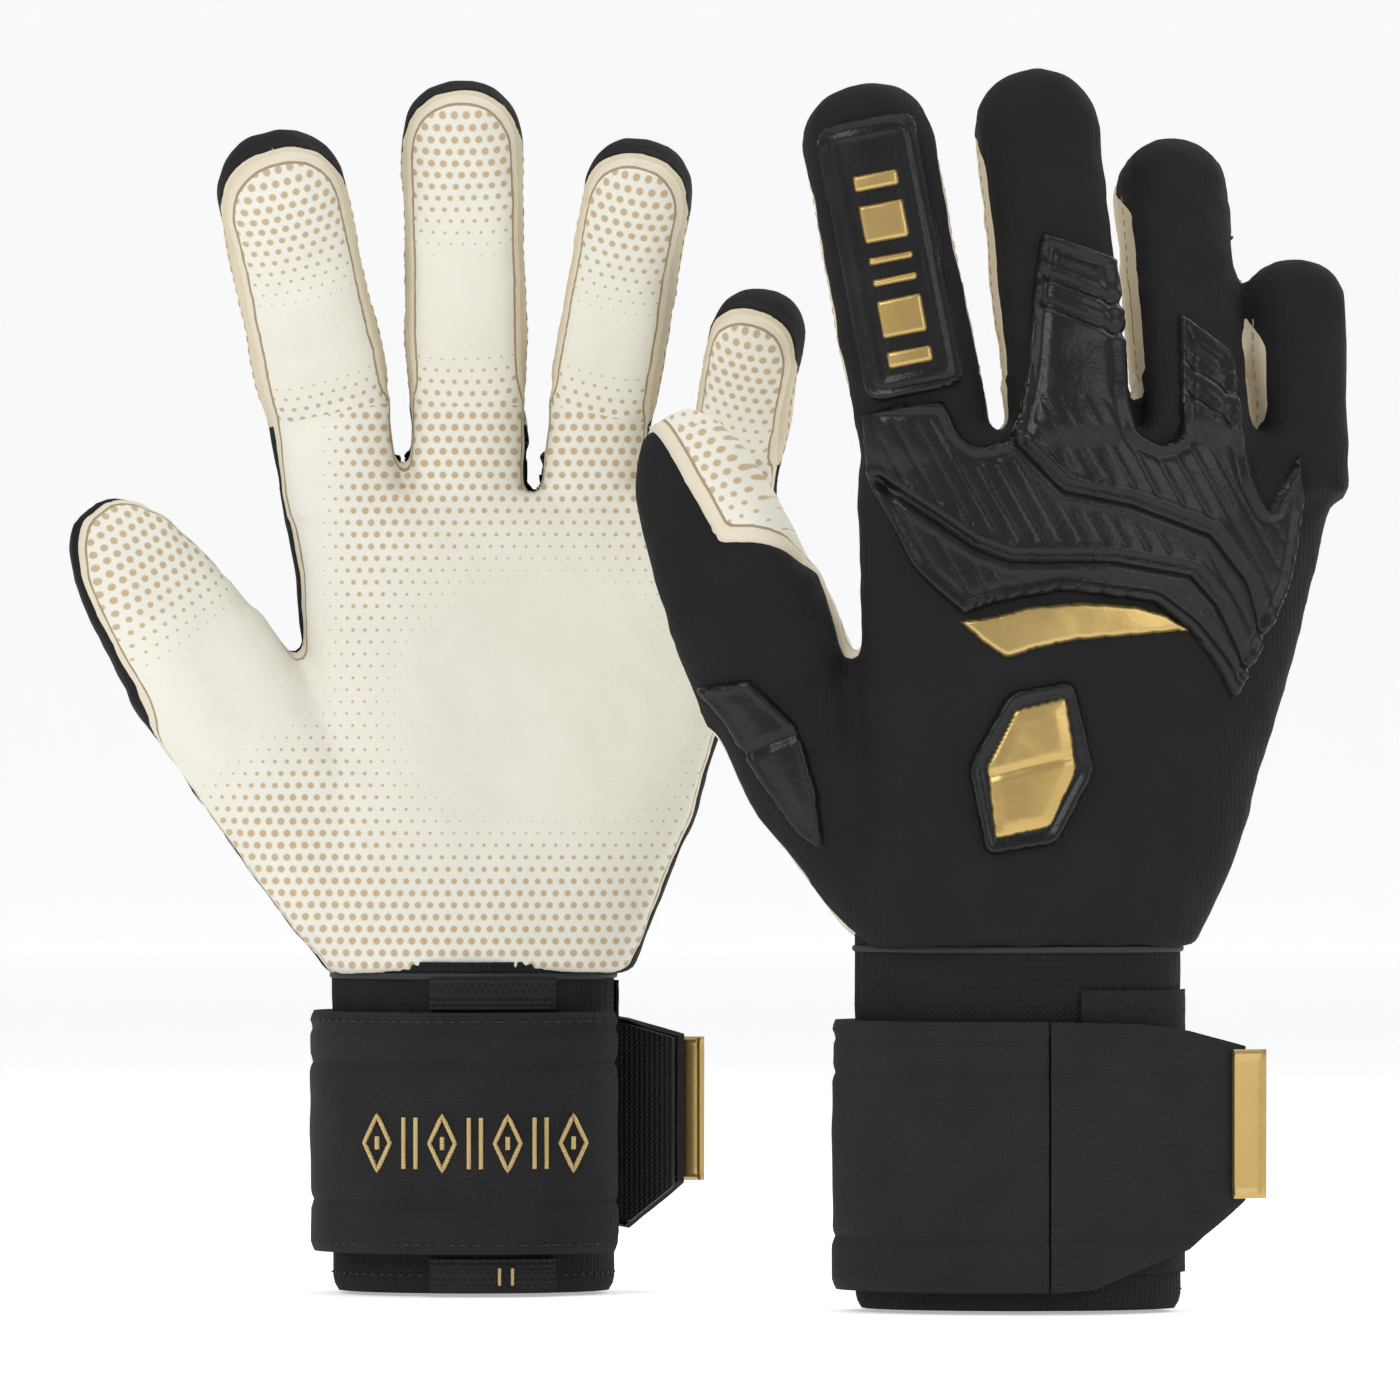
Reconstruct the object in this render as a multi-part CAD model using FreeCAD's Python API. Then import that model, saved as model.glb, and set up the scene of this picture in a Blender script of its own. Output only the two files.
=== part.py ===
import FreeCAD, Part
import math
import os

# A pair of football goalkeeper gloves standing on their cuffs with the fingers up, in mm.
# Each glove is worked out in its own frame: x across the hand from thumb to little finger,
# y from palm (-) to back (+), z up from the bottom rim of the cuff. The left glove stands
# with its palm to -Y. The right glove is the mirror image in y of the same pattern, in its
# own posture, so its back is to -Y. Both thumbs are at -X.

V = FreeCAD.Vector
FINGERS = ("index", "middle", "ring", "little")
SIDES = ("left", "right")

# Fingers: straight padded tubes of latex palm, side gussets and back cloth
FINGER_WIDTH = {"index": 31.0, "middle": 29.0, "ring": 26.0, "little": 22.0}
FINGER_LENGTH = {"index": 75.0, "middle": 79.0, "ring": 70.0, "little": 44.0}
FINGER_THICK = 24.0
FINGER_BEVEL = 4.5       # how far the palm and back faces of a finger are drawn in
FINGER_FLEX = 45.0       # most that a finger bends at its root, degrees

# Thumb: a tapered tube, distances from its root with the width and thickness there
THUMB_SECTIONS = ((-14.0, 38.0, 30.0), (22.0, 34.0, 27.0), (44.0, 27.0, 21.0), (57.0, 15.0, 11.0))
THUMB_FLEX = 35.0
THUMB_ROLL = 20.0        # turn of the thumb's palm towards the index finger, degrees

# Walls and clearances
LATEX_WALL = 7.0         # latex foam and its backing
BACK_WALL = 4.5          # padded cloth of the back
SIDE_WALL = 4.0          # gussets and side seams
JOINT_GAP = 0.5          # between pieces on different bodies
LAYER_GAP = 0.15         # between a pad and the cloth that it is sewn to
PAD_THICK = 2.4
BADGE_THICK = 1.3

# Cuff and wrist strap
CUFF_WALL = 2.6
STRAP_THICK = 2.4
STRAP_TOP = 66.0
STRAP_TAB_LOW = 25.0     # height of the flap's narrow end, from here up to STRAP_TAB_TOP
STRAP_TAB_TOP = 60.0
FLAP_START = 5.0         # x where the flap starts to peel off the back of the cuff
FLAP_TANGENT = 22.0      # x where the flap leaves the round of the cuff in a straight line
FLAP_REACH = 50.0        # x of the flap's sewn end
FLAP_OPEN = 120.0        # most that the flap peels back, degrees
TAB_REACH = 4.8          # rubber pull tab beyond the flap's end
TAB_OVERLAP = 3.0
LOOP_LOW_X = 14.0        # loop patch on the cuff, under the flap
LOOP_TOP = 73.0
HOOK_LOW_X = 26.0
HOOK_THICK = 1.2
WEB_WIDTH = 30.0         # webbing pull loops on the palm side of the cuff
WEB_THICK = 1.2
WEB_UPPER_LOW = 66.5
WEB_LOWER_TOP = 8.5

# Postures. A finger is (x and z of the middle of its root, lean to +x, curl to the palm).
# A hand level is (z, lowest x, highest x, thickness, y at the top of the cup).
# A thumb-base section is (x, y, z, lean to -x, width, thickness).
POSTURE = {
    "left": {
        "place": V(-50.0, 49.0, 0), "mirror": False,
        "cup_radius": 400.0, "cup_x": -1.0, "flex_turn": 2.0,
        "fingers": {"index": (-33.9, 206.0, -11.6, 30.0), "middle": (-1.4, 208.0, -1.0, 18.0),
                    "ring": (29.8, 206.0, 9.9, 25.0), "little": (61.7, 196.0, 10.0, 33.0)},
        "hand": ((75.0, -35.0, 37.0, 48.0, 0.0), (92.0, -39.0, 44.0, 46.0, 0.5),
                 (115.0, -41.0, 53.0, 43.0, 1.0), (145.0, -40.0, 62.0, 38.0, 1.5),
                 (170.0, -42.0, 69.0, 33.0, 2.0), (192.0, -47.0, 75.0, 29.0, 2.0),
                 (213.0, -50.0, 77.0, 27.0, 2.0)),
        "thumb_base": ((-27.0, 0.0, 94.0, 34.7, 36.0, 34.0), (-43.0, -2.0, 117.0, 34.7, 37.0, 32.0),
                       (-66.0, -5.0, 150.0, 34.7, 38.0, 30.0)),
        "thumb": (-57.5, -4.0, 137.7, 34.7, 10.0),
        "cuff": (0.0, 33.5, 25.5), "cuff_top": 74.7, "strap_low": 9.5, "palm_split": 2.0,
    },
    "right": {
        "place": V(78.0, -49.0, 0), "mirror": True,
        "cup_radius": 150.0, "cup_x": -23.0, "flex_turn": 17.0,
        "fingers": {"index": (-24.7, 206.0, -10.9, 4.0), "middle": (9.0, 208.0, -6.0, 18.0),
                    "ring": (37.5, 206.0, -4.0, 30.0), "little": (62.3, 197.0, -1.2, 10.0)},
        "hand": ((83.0, -37.0, 36.0, 46.0, 3.0), (100.0, -38.0, 44.0, 45.0, 4.0),
                 (120.0, -38.0, 50.0, 42.0, 5.0), (145.0, -38.0, 58.0, 37.0, 7.0),
                 (168.0, -38.0, 64.0, 32.0, 8.0), (190.0, -39.0, 70.0, 28.5, 8.0),
                 (213.0, -41.0, 73.0, 26.5, 8.0)),
        "thumb_base": ((-29.0, 0.0, 98.0, 39.0, 34.0, 32.0), (-48.0, -2.0, 124.0, 30.0, 36.0, 31.0),
                       (-65.0, -5.0, 163.0, 21.6, 38.0, 30.0)),
        "thumb": (-61.0, -4.0, 151.9, 21.6, 10.0),
        "cuff": (-2.0, 37.5, 22.5), "cuff_top": 82.7, "strap_low": 4.5, "palm_split": 8.0,
    },
}

# Outlines of what is sewn to the back, as (x, z) on the right glove's back
PAD_OUTLINE = ((-14.0, 157.0), (-33.0, 188.0), (-37.0, 215.0), (-16.0, 215.0), (-12.0, 197.0),
               (-2.0, 199.0), (3.0, 215.0), (21.0, 215.0), (25.0, 199.0), (31.0, 197.0),
               (35.0, 215.0), (46.0, 215.0), (47.0, 188.0), (55.0, 176.0), (62.0, 200.0),
               (60.0, 176.0), (47.0, 138.0), (33.0, 160.0), (10.0, 164.0))
BLADE_OUTLINE = ((-15.0, 156.0), (5.0, 162.0), (26.0, 161.0), (36.0, 154.5), (12.0, 152.5), (-4.0, 148.6))
EMBLEM_OUTLINE = ((-9.0, 105.0), (-12.0, 124.0), (-5.0, 138.0), (10.0, 142.0), (13.0, 122.0), (6.0, 108.0))
THUMB_PAD_OUTLINE = ((-75.0, 141.0), (-60.0, 143.0), (-51.0, 130.0), (-47.0, 104.0), (-62.0, 112.0))
INDEX_STRIP = (20.0, 3.0, 60.0)      # width, and where it starts and ends along the finger
MIDDLE_TAB = (18.0, 1.0, 34.0)
RING_TAB = (13.0, 1.0, 20.0)


def unit(vector):
    result = V(vector)
    result.normalize()
    return result


def turned(degrees, radius=1.0):
    """A vector in the x-y plane that starts along +y, the back, and turns to +x."""
    angle = math.radians(degrees)
    return V(math.sin(angle) * radius, math.cos(angle) * radius, 0)


def cup_at(side, x, top_y):
    """Middle of the hand at x: its y, and the turn of its back in degrees."""
    posture = POSTURE[side]
    angle = math.asin((x - posture["cup_x"]) / posture["cup_radius"])
    return top_y - posture["cup_radius"] * (1 - math.cos(angle)), math.degrees(angle)


def big_box(origin, across, normal, size=400.0, low=None, high=None):
    """A box whose bottom face passes through origin, square to normal, wide along across."""
    depth = normal.cross(across)
    low = -size if low is None else low
    high = size if high is None else high
    box = Part.makeBox(high - low, 2 * size, size, V(low, -size, 0))
    return placed(box, origin, across, depth, normal)


def frame_matrix(origin, x_axis, y_axis, z_axis):
    m = FreeCAD.Matrix()
    m.A11, m.A12, m.A13, m.A14 = x_axis.x, y_axis.x, z_axis.x, origin.x
    m.A21, m.A22, m.A23, m.A24 = x_axis.y, y_axis.y, z_axis.y, origin.y
    m.A31, m.A32, m.A33, m.A34 = x_axis.z, y_axis.z, z_axis.z, origin.z
    return m


def placed(shape, origin, x_axis, y_axis, z_axis):
    moved = shape.copy()
    moved.Placement = FreeCAD.Placement(frame_matrix(origin, x_axis, y_axis, z_axis))
    return moved


# ---- wires ----

def bent_oval(side, level, grow=0.0, palm_in=0.0, back_in=0.0, side_in=0.0):
    """A level of the hand: a strip with round ends, bent about an axis on its palm side."""
    z, x_low, x_high, thick, top_y = level
    posture = POSTURE[side]
    radius = posture["cup_radius"]
    half = (thick - palm_in - back_in) / 2 + grow
    middle_y = top_y + (palm_in - back_in) / 2
    reach_low = x_low + side_in - grow + half
    reach_high = x_high - side_in + grow - half
    low = math.degrees(math.asin((reach_low - posture["cup_x"]) / radius))
    high = math.degrees(math.asin((reach_high - posture["cup_x"]) / radius))
    hub = V(posture["cup_x"], middle_y - radius, z)
    mid = (low + high) / 2
    back = Part.Arc(*[hub + turned(a, radius + half) for a in (low, mid, high)])
    palm = Part.Arc(*[hub + turned(a, radius - half) for a in (high, mid, low)])
    high_end = hub + turned(high, radius)
    low_end = hub + turned(low, radius)
    high_cap = Part.Arc(hub + turned(high, radius + half), high_end + turned(high + 90, half),
                        hub + turned(high, radius - half))
    low_cap = Part.Arc(hub + turned(low, radius - half), low_end + turned(low - 90, half),
                       hub + turned(low, radius + half))
    return Part.Wire([curve.toShape() for curve in (back, high_cap, palm, low_cap)])


def oval(centre, across, through, width, thick):
    """A stadium of this width and thickness about centre."""
    r = thick / 2
    flat = width / 2 - r
    tops = [centre + across * (s * flat) + through * r for s in (-1, 1)]
    bottoms = [centre + across * (s * flat) - through * r for s in (1, -1)]
    ends = [centre + across * (s * (flat + r)) for s in (1, -1)]
    edges = [Part.LineSegment(tops[0], tops[1]), Part.Arc(tops[1], ends[0], bottoms[0]),
             Part.LineSegment(bottoms[0], bottoms[1]), Part.Arc(bottoms[1], ends[1], tops[0])]
    return Part.Wire([edge.toShape() for edge in edges])


def outline_prism(points, x_of=None):
    """Points (x, z) extruded along y through the whole glove."""
    corners = [V(x_of(x) if x_of else x, -100, z) for x, z in points]
    face = Part.Face(Part.makePolygon(corners + corners[:1]))
    return face.extrude(V(0, 200, 0))


# ---- fingers ----

def finger_frame(side, name):
    """Where a finger stands: root centre, its axes, its hinge and its hinge axis."""
    posture = POSTURE[side]
    x, z, lean, curl = posture["fingers"][name]
    top_y = posture["hand"][-1][4]
    y, roll = cup_at(side, x, top_y)
    lean, curl = math.radians(lean), math.radians(curl)
    straight = V(math.sin(lean), 0, math.cos(lean))
    along = straight * math.cos(curl) + V(0, -math.sin(curl), 0)
    flat_across = V(math.cos(lean), 0, -math.sin(lean))
    flat_back = flat_across.cross(along) * -1
    roll = math.radians(roll)
    across = unit(flat_across * math.cos(roll) - flat_back * math.sin(roll))
    back = unit(flat_back * math.cos(roll) + flat_across * math.sin(roll))
    root = V(x, y, z)
    to_palm = turned(posture["flex_turn"]) * -1
    to_palm = unit(to_palm - straight * straight.dot(to_palm))
    slope = to_palm - straight * (to_palm.dot(along) / straight.dot(along))
    half_w, half_t = FINGER_WIDTH[name] / 2, FINGER_THICK / 2
    corners = ((half_w - FINGER_BEVEL, half_t), (half_w, half_t - LATEX_WALL))
    reach = max(w * abs(slope.dot(across)) + t * abs(slope.dot(back)) for w, t in corners)
    return {"root": root, "straight": straight, "along": along, "across": across, "back": back,
            "flat_across": flat_across, "hinge": root + to_palm * reach,
            "axis": unit(along.cross(to_palm)), "to_palm": to_palm}


def finger_outline(width, length, y, low):
    """The finger seen from its palm: straight sides and a round tip, in its own frame."""
    half = width / 2
    shoulder = length - half * 0.92
    edges = [Part.LineSegment(V(half, y, low), V(half, y, shoulder)),
             Part.Arc(V(half, y, shoulder), V(0, y, length), V(-half, y, shoulder)),
             Part.LineSegment(V(-half, y, shoulder), V(-half, y, low)),
             Part.LineSegment(V(-half, y, low), V(half, y, low))]
    return Part.Wire([edge.toShape() for edge in edges])


def finger_block(width, length, y_low, y_high, low):
    face = Part.Face(finger_outline(width, length, y_low, low))
    return face.extrude(V(0, y_high - y_low, 0))


def finger_plate(width, length, y_full, y_small, low):
    """A plate with the finger's full outline at y_full, drawn in to its face at y_small."""
    full = finger_outline(width, length, y_full, low)
    small = finger_outline(width - 2 * FINGER_BEVEL, length - FINGER_BEVEL, y_small, low)
    return Part.makeLoft([full, small], True, True)


def finger_pieces(side, name):
    """Latex palm, gusset and back of one finger, above the plane of its root."""
    f = finger_frame(side, name)
    half = FINGER_THICK / 2
    low = -30.0
    hollow = finger_block(FINGER_WIDTH[name] - 2 * SIDE_WALL, FINGER_LENGTH[name] - SIDE_WALL,
                          -half + LATEX_WALL, half - BACK_WALL, low - 1)
    width, length = FINGER_WIDTH[name], FINGER_LENGTH[name]
    latex = finger_plate(width, length, -half + LATEX_WALL, -half, low)
    back = finger_plate(width, length, half - BACK_WALL, half, low)
    core = finger_block(width, length, -half + LATEX_WALL, half - BACK_WALL, low)
    gusset = core.cut(hollow)
    above = big_box(f["root"], f["flat_across"], f["straight"])
    pieces = {}
    for kind, shape in (("latex", latex), ("gusset", gusset), ("back", back)):
        stood = placed(shape, f["root"], f["across"], f["back"], f["along"])
        pieces[name + "_" + kind] = stood.common(above)
    return pieces


def finger_strip(side, name, sizes, thick):
    """A moulded strip on the back of a finger."""
    width, start, end = sizes
    f = finger_frame(side, name)
    strip = Part.makeBox(width, thick, end - start, V(-width / 2, FINGER_THICK / 2 + LAYER_GAP, start))
    stood = placed(strip, f["root"], f["across"], f["back"], f["along"])
    return stood.common(big_box(f["root"] + f["straight"] * JOINT_GAP, f["flat_across"], f["straight"]))


# ---- thumb ----

def thumb_frame(side):
    x, y, z, lean, curl = POSTURE[side]["thumb"]
    lean, curl, roll = math.radians(lean), math.radians(curl), math.radians(-THUMB_ROLL)
    straight = V(-math.sin(lean), 0, math.cos(lean))
    along = straight * math.cos(curl) + V(0, -math.sin(curl), 0)
    flat_across = V(math.cos(lean), 0, math.sin(lean))
    flat_back = flat_across.cross(along) * -1
    across = unit(flat_across * math.cos(roll) - flat_back * math.sin(roll))
    back = unit(flat_back * math.cos(roll) + flat_across * math.sin(roll))
    root = V(x, y, z)
    to_palm = V(0, -1, 0)
    width, thick = THUMB_SECTIONS[0][1:]
    reach = (width - thick) / 2 * abs(across.y) + thick / 2
    return {"root": root, "straight": straight, "along": along, "across": across, "back": back,
            "flat_across": flat_across, "hinge": root + to_palm * (reach / math.cos(curl)),
            "axis": unit(along.cross(to_palm)), "to_palm": to_palm}


def thumb_solid(f, width_in=0.0, thick_in=0.0, tip_in=0.0):
    wires = []
    for distance, width, thick in THUMB_SECTIONS:
        reach = min(distance, THUMB_SECTIONS[-1][0] - tip_in)
        wires.append(oval(f["root"] + f["along"] * reach, f["across"], f["back"], width - width_in, thick - thick_in))
    return Part.makeLoft(wires, True, True)


def thumb_pieces(side):
    f = thumb_frame(side)
    outer = thumb_solid(f)
    hollow = thumb_solid(f, 2 * SIDE_WALL, LATEX_WALL + BACK_WALL - 2, SIDE_WALL)
    shell = outer.cut(hollow).common(big_box(f["root"], f["flat_across"], f["straight"]))
    palm_half = big_box(f["root"], f["across"], f["back"] * -1)
    back_half = big_box(f["root"], f["across"], f["back"])
    return {"thumb_latex": shell.common(palm_half), "thumb_back": shell.common(back_half)}


def thumb_base(side, grow=0.0):
    wires = []
    for x, y, z, lean, width, thick in POSTURE[side]["thumb_base"]:
        angle = math.radians(lean)
        across = V(math.cos(angle), 0, math.sin(angle))
        wires.append(oval(V(x, y, z), across, V(0, 1, 0), width + 2 * grow, thick + 2 * grow))
    return Part.makeLoft(wires, True, True)


# ---- hand ----

def hand_solid(side, **changes):
    levels = POSTURE[side]["hand"]
    return Part.makeLoft([bent_oval(side, level, **changes) for level in levels], True, True)


def root_cuts(side):
    """Boxes over each finger root and the thumb root, which the hand stays out of."""
    frames = [finger_frame(side, name) for name in FINGERS]
    cuts = []
    for i, f in enumerate(frames):
        low = -60.0 if i == 0 else (frames[i - 1]["root"].x - f["root"].x) / 2 - 1
        high = 60.0 if i == 3 else (frames[i + 1]["root"].x - f["root"].x) / 2 + 1
        base = f["root"] - f["straight"] * JOINT_GAP
        cuts.append(big_box(base, f["flat_across"], f["straight"], 90.0, low, high))
    return cuts


def thumb_cut(side):
    f = thumb_frame(side)
    half = THUMB_SECTIONS[0][1] / 2 + 3
    return big_box(f["root"] - f["straight"] * JOINT_GAP, f["flat_across"], f["straight"], 120.0, -2 * half, half)


def fused(first, second):
    result = first.fuse(second).removeSplitter()
    return result.Solids[0] if len(result.Solids) == 1 else result


def hand_pieces(side):
    posture = POSTURE[side]
    inner = {"palm_in": LATEX_WALL, "back_in": BACK_WALL, "side_in": SIDE_WALL}
    base = thumb_base(side).cut(thumb_cut(side))
    outer = fused(hand_solid(side), base)
    hollow = hand_solid(side, **inner)
    shell = outer.cut(hollow).cut(thumb_base(side, -SIDE_WALL - 1))
    for box in root_cuts(side):
        shell = shell.cut(box)
    x_mid = sum(posture["hand"][4][1:3]) / 2
    y_mid, turn = cup_at(side, x_mid, posture["hand"][4][4])
    middle = V(x_mid, y_mid, 0)
    to_back = turned(posture["palm_split"])
    across = turned(posture["palm_split"] + 90)
    palm = shell.common(big_box(middle, across, to_back * -1))
    back = shell.common(big_box(middle, across, to_back))
    return {"palm_latex": palm, "back_panel": back}


def sewn_on(side):
    """Moulded pads and badges on the back of the hand."""
    posture = POSTURE[side]
    skin = hand_solid(side, grow=LAYER_GAP)
    band = hand_solid(side, grow=LAYER_GAP + PAD_THICK).cut(skin)
    thin = hand_solid(side, grow=LAYER_GAP + BADGE_THICK).cut(skin)
    y_cut = posture["hand"][0][4]
    behind = big_box(V(0, y_cut, 0), V(1, 0, 0), V(0, 1, 0))
    shift = posture["fingers"]["middle"][0] - POSTURE["right"]["fingers"]["middle"][0]
    stretch = 1.0 if side == "right" else 1.12
    middle_x = POSTURE["right"]["fingers"]["middle"][0]

    def pattern_x(x):
        return middle_x + (x - middle_x) * stretch + shift

    pad = band.common(outline_prism(PAD_OUTLINE, pattern_x)).common(behind)
    for box in root_cuts(side):
        pad = pad.cut(box)
    blade = thin.common(outline_prism(BLADE_OUTLINE, pattern_x)).common(behind)
    blade = blade.cut(pad)
    emblem = thin.common(outline_prism(EMBLEM_OUTLINE, pattern_x)).common(behind)
    thenar = thumb_base(side, LAYER_GAP + PAD_THICK).cut(thumb_base(side, LAYER_GAP)).cut(skin)
    x, y, z = POSTURE["right"]["thumb"][:3]
    own_x, own_y, own_z = posture["thumb"][:3]
    moved = [(px - x + own_x, pz - z + own_z) for px, pz in THUMB_PAD_OUTLINE]
    thumb_pad = thenar.common(outline_prism(moved)).common(behind).cut(thumb_cut(side))
    return {"knuckle_pad": pad, "gold_blade": blade, "emblem": emblem, "thumb_pad": thumb_pad}


# ---- cuff and strap ----

def ellipse_face(side, grow, z):
    x, half_width, half_depth = POSTURE[side]["cuff"]
    curve = Part.Ellipse(V(x, 0, z), half_width + grow, half_depth + grow)
    return Part.Face(Part.Wire(curve.toShape()))


def ellipse_tube(side, inner, outer, low, high):
    height = V(0, 0, high - low)
    return ellipse_face(side, outer, low).extrude(height).cut(ellipse_face(side, inner, low).extrude(height))


def back_point(side, grow, x):
    """Point of the cuff's back outline, grown by grow, at x, and the outline's slope there."""
    centre, half_width, half_depth = POSTURE[side]["cuff"]
    a, b = half_width + grow, half_depth + grow
    y = b * math.sqrt(1 - ((x - centre) / a) ** 2)
    return V(x, y, 0), -(b * b * (x - centre)) / (a * a * y)


def flap_band(side, inner, outer, x_low, x_high, z_low, z_high):
    """A strip along the cuff's back, straight past FLAP_TANGENT, kept between x_low and x_high."""
    start_in, _ = back_point(side, inner, FLAP_START)
    start_out, _ = back_point(side, outer, FLAP_START)
    bend = FLAP_TANGENT
    bend_in, slope = back_point(side, inner, bend)
    across = unit(V(1, slope, 0))
    normal = V(-across.y, across.x, 0)
    bend_out = bend_in + normal * (outer - inner)
    mid_in, mid_slope = back_point(side, inner, (FLAP_START + bend) / 2)
    mid_normal = unit(V(-mid_slope, 1, 0))
    mid_out = mid_in + mid_normal * (outer - inner)
    run = (x_high - bend) / across.x
    end_in = bend_in + across * run
    end_out = bend_out + across * run
    edges = [Part.Arc(start_in, mid_in, bend_in).toShape(), Part.makeLine(bend_in, end_in),
             Part.makeLine(end_in, end_out), Part.makeLine(end_out, bend_out),
             Part.Arc(bend_out, mid_out, start_out).toShape(), Part.makeLine(start_out, start_in)]
    face = Part.Face(Part.Wire(edges))
    face.translate(V(0, 0, z_low))
    band = face.extrude(V(0, 0, z_high - z_low))
    return band.common(Part.makeBox(x_high + 20 - x_low, 200, 200, V(x_low, -100, -50)))


def flap_outline(side, low_x, inset=0.0):
    strap_low = POSTURE[side]["strap_low"]
    end = FLAP_REACH - inset
    points = ((low_x, strap_low + inset), (FLAP_TANGENT, strap_low + 4 + inset), (37.0, 14.0 + inset),
              (end, STRAP_TAB_LOW + inset), (end, STRAP_TAB_TOP - inset), (37.0, 64.0 - inset),
              (low_x, STRAP_TOP - inset))
    return outline_prism(points)


def hinge_line(side):
    """The flap's peel line, on the strap's outer face."""
    return back_point(side, JOINT_GAP + STRAP_THICK + HOOK_THICK + WEB_THICK + LAYER_GAP, FLAP_START)[0]


def cuff_pieces(side):
    posture = POSTURE[side]
    centre, half_width, half_depth = posture["cuff"]
    strap_low, top = posture["strap_low"], posture["cuff_top"]
    sleeve = ellipse_tube(side, -CUFF_WALL, 0, 0, top)
    patch_in, patch_out = LAYER_GAP, LAYER_GAP + WEB_THICK
    patch_ring = ellipse_tube(side, patch_in, patch_out, strap_low + 4, LOOP_TOP)
    behind = Part.makeBox(half_width + 10, 60, 100, V(centre + LOOP_LOW_X, 0, 0))
    loop_patch = patch_ring.common(behind)
    strap_in = patch_out + HOOK_THICK + JOINT_GAP
    strap_out = strap_in + STRAP_THICK
    ring = ellipse_tube(side, strap_in, strap_out, strap_low, STRAP_TOP)
    gap_box = Part.makeBox(100, 100, 100, V(FLAP_START - JOINT_GAP, 0, 0))
    sewn_start = Part.makeBox(100, 16, 100, V(centre + half_width * 0.55, -14, 0))
    wrap = ring.cut(gap_box).cut(sewn_start)
    webs = []
    for low, high in ((WEB_UPPER_LOW, top), (0.3, WEB_LOWER_TOP)):
        web = ellipse_tube(side, LAYER_GAP, LAYER_GAP + WEB_THICK, low, min(high, low + 9))
        webs.append(web.common(Part.makeBox(WEB_WIDTH, 100, 100, V(centre - WEB_WIDTH / 3, -100, 0))))
    pull_loops = Part.makeCompound(webs)
    flap = flap_band(side, strap_in, strap_out, FLAP_START, FLAP_REACH, 0, STRAP_TOP)
    flap = flap.common(flap_outline(side, FLAP_START - 5))
    hook_out = strap_in - LAYER_GAP
    hook = flap_band(side, hook_out - HOOK_THICK, hook_out, HOOK_LOW_X, FLAP_REACH - 3, 0, STRAP_TOP)
    hook = hook.common(flap_outline(side, FLAP_START - 5, 2.0))
    tab = flap_band(side, strap_out + LAYER_GAP, strap_out + LAYER_GAP + 1.6, FLAP_REACH - TAB_OVERLAP,
                    FLAP_REACH + TAB_REACH, STRAP_TAB_LOW + 1, STRAP_TAB_TOP - 1)
    return {"cuff_sleeve": sleeve, "loop_patch": loop_patch, "strap_wrap": wrap, "pull_loops": pull_loops,
            "strap_flap": flap, "hook_patch": hook, "pull_tab": tab}


# ---- the pair ----

def glove_pieces(side):
    pieces = {}
    pieces.update(hand_pieces(side))
    pieces.update(thumb_pieces(side))
    for name in FINGERS:
        pieces.update(finger_pieces(side, name))
    pieces["index_strip"] = finger_strip(side, "index", INDEX_STRIP, PAD_THICK)
    pieces["middle_pad_tab"] = finger_strip(side, "middle", MIDDLE_TAB, PAD_THICK)
    pieces["ring_pad_tab"] = finger_strip(side, "ring", RING_TAB, PAD_THICK)
    pieces.update(sewn_on(side))
    pieces.update(cuff_pieces(side))
    return pieces


def stand(side, shape):
    """Move a piece from its glove's own frame to its place in the pair."""
    posture = POSTURE[side]
    result = shape.mirror(V(0, 0, 0), V(0, 1, 0)) if posture["mirror"] else shape.copy()
    result.translate(posture["place"])
    return result


def pair_pieces():
    """Every node of the pair, with the origin under the middle of the pair's box."""
    nodes = {}
    for side in SIDES:
        for name, shape in glove_pieces(side).items():
            nodes[side + "_" + name] = stand(side, shape)
    box = FreeCAD.BoundBox()
    for shape in nodes.values():
        box.add(shape.optimalBoundingBox())
    shift = V(-box.Center.x, -box.Center.y, -box.ZMin)
    for shape in nodes.values():
        shape.translate(shift)
    return nodes, shift


def export(nodes):
    os.makedirs("parts", exist_ok=True)
    for name, shape in nodes.items():
        shape.exportStep("parts/" + name + ".step")
        print(name, "solids", len(shape.Solids), "volume cm3", round(shape.Volume / 1000, 2), shape.isValid())


if __name__ == "__main__":
    NODES, SHIFT = pair_pieces()
    export(NODES)
    print("nodes", len(NODES), "shift", SHIFT)
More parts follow.
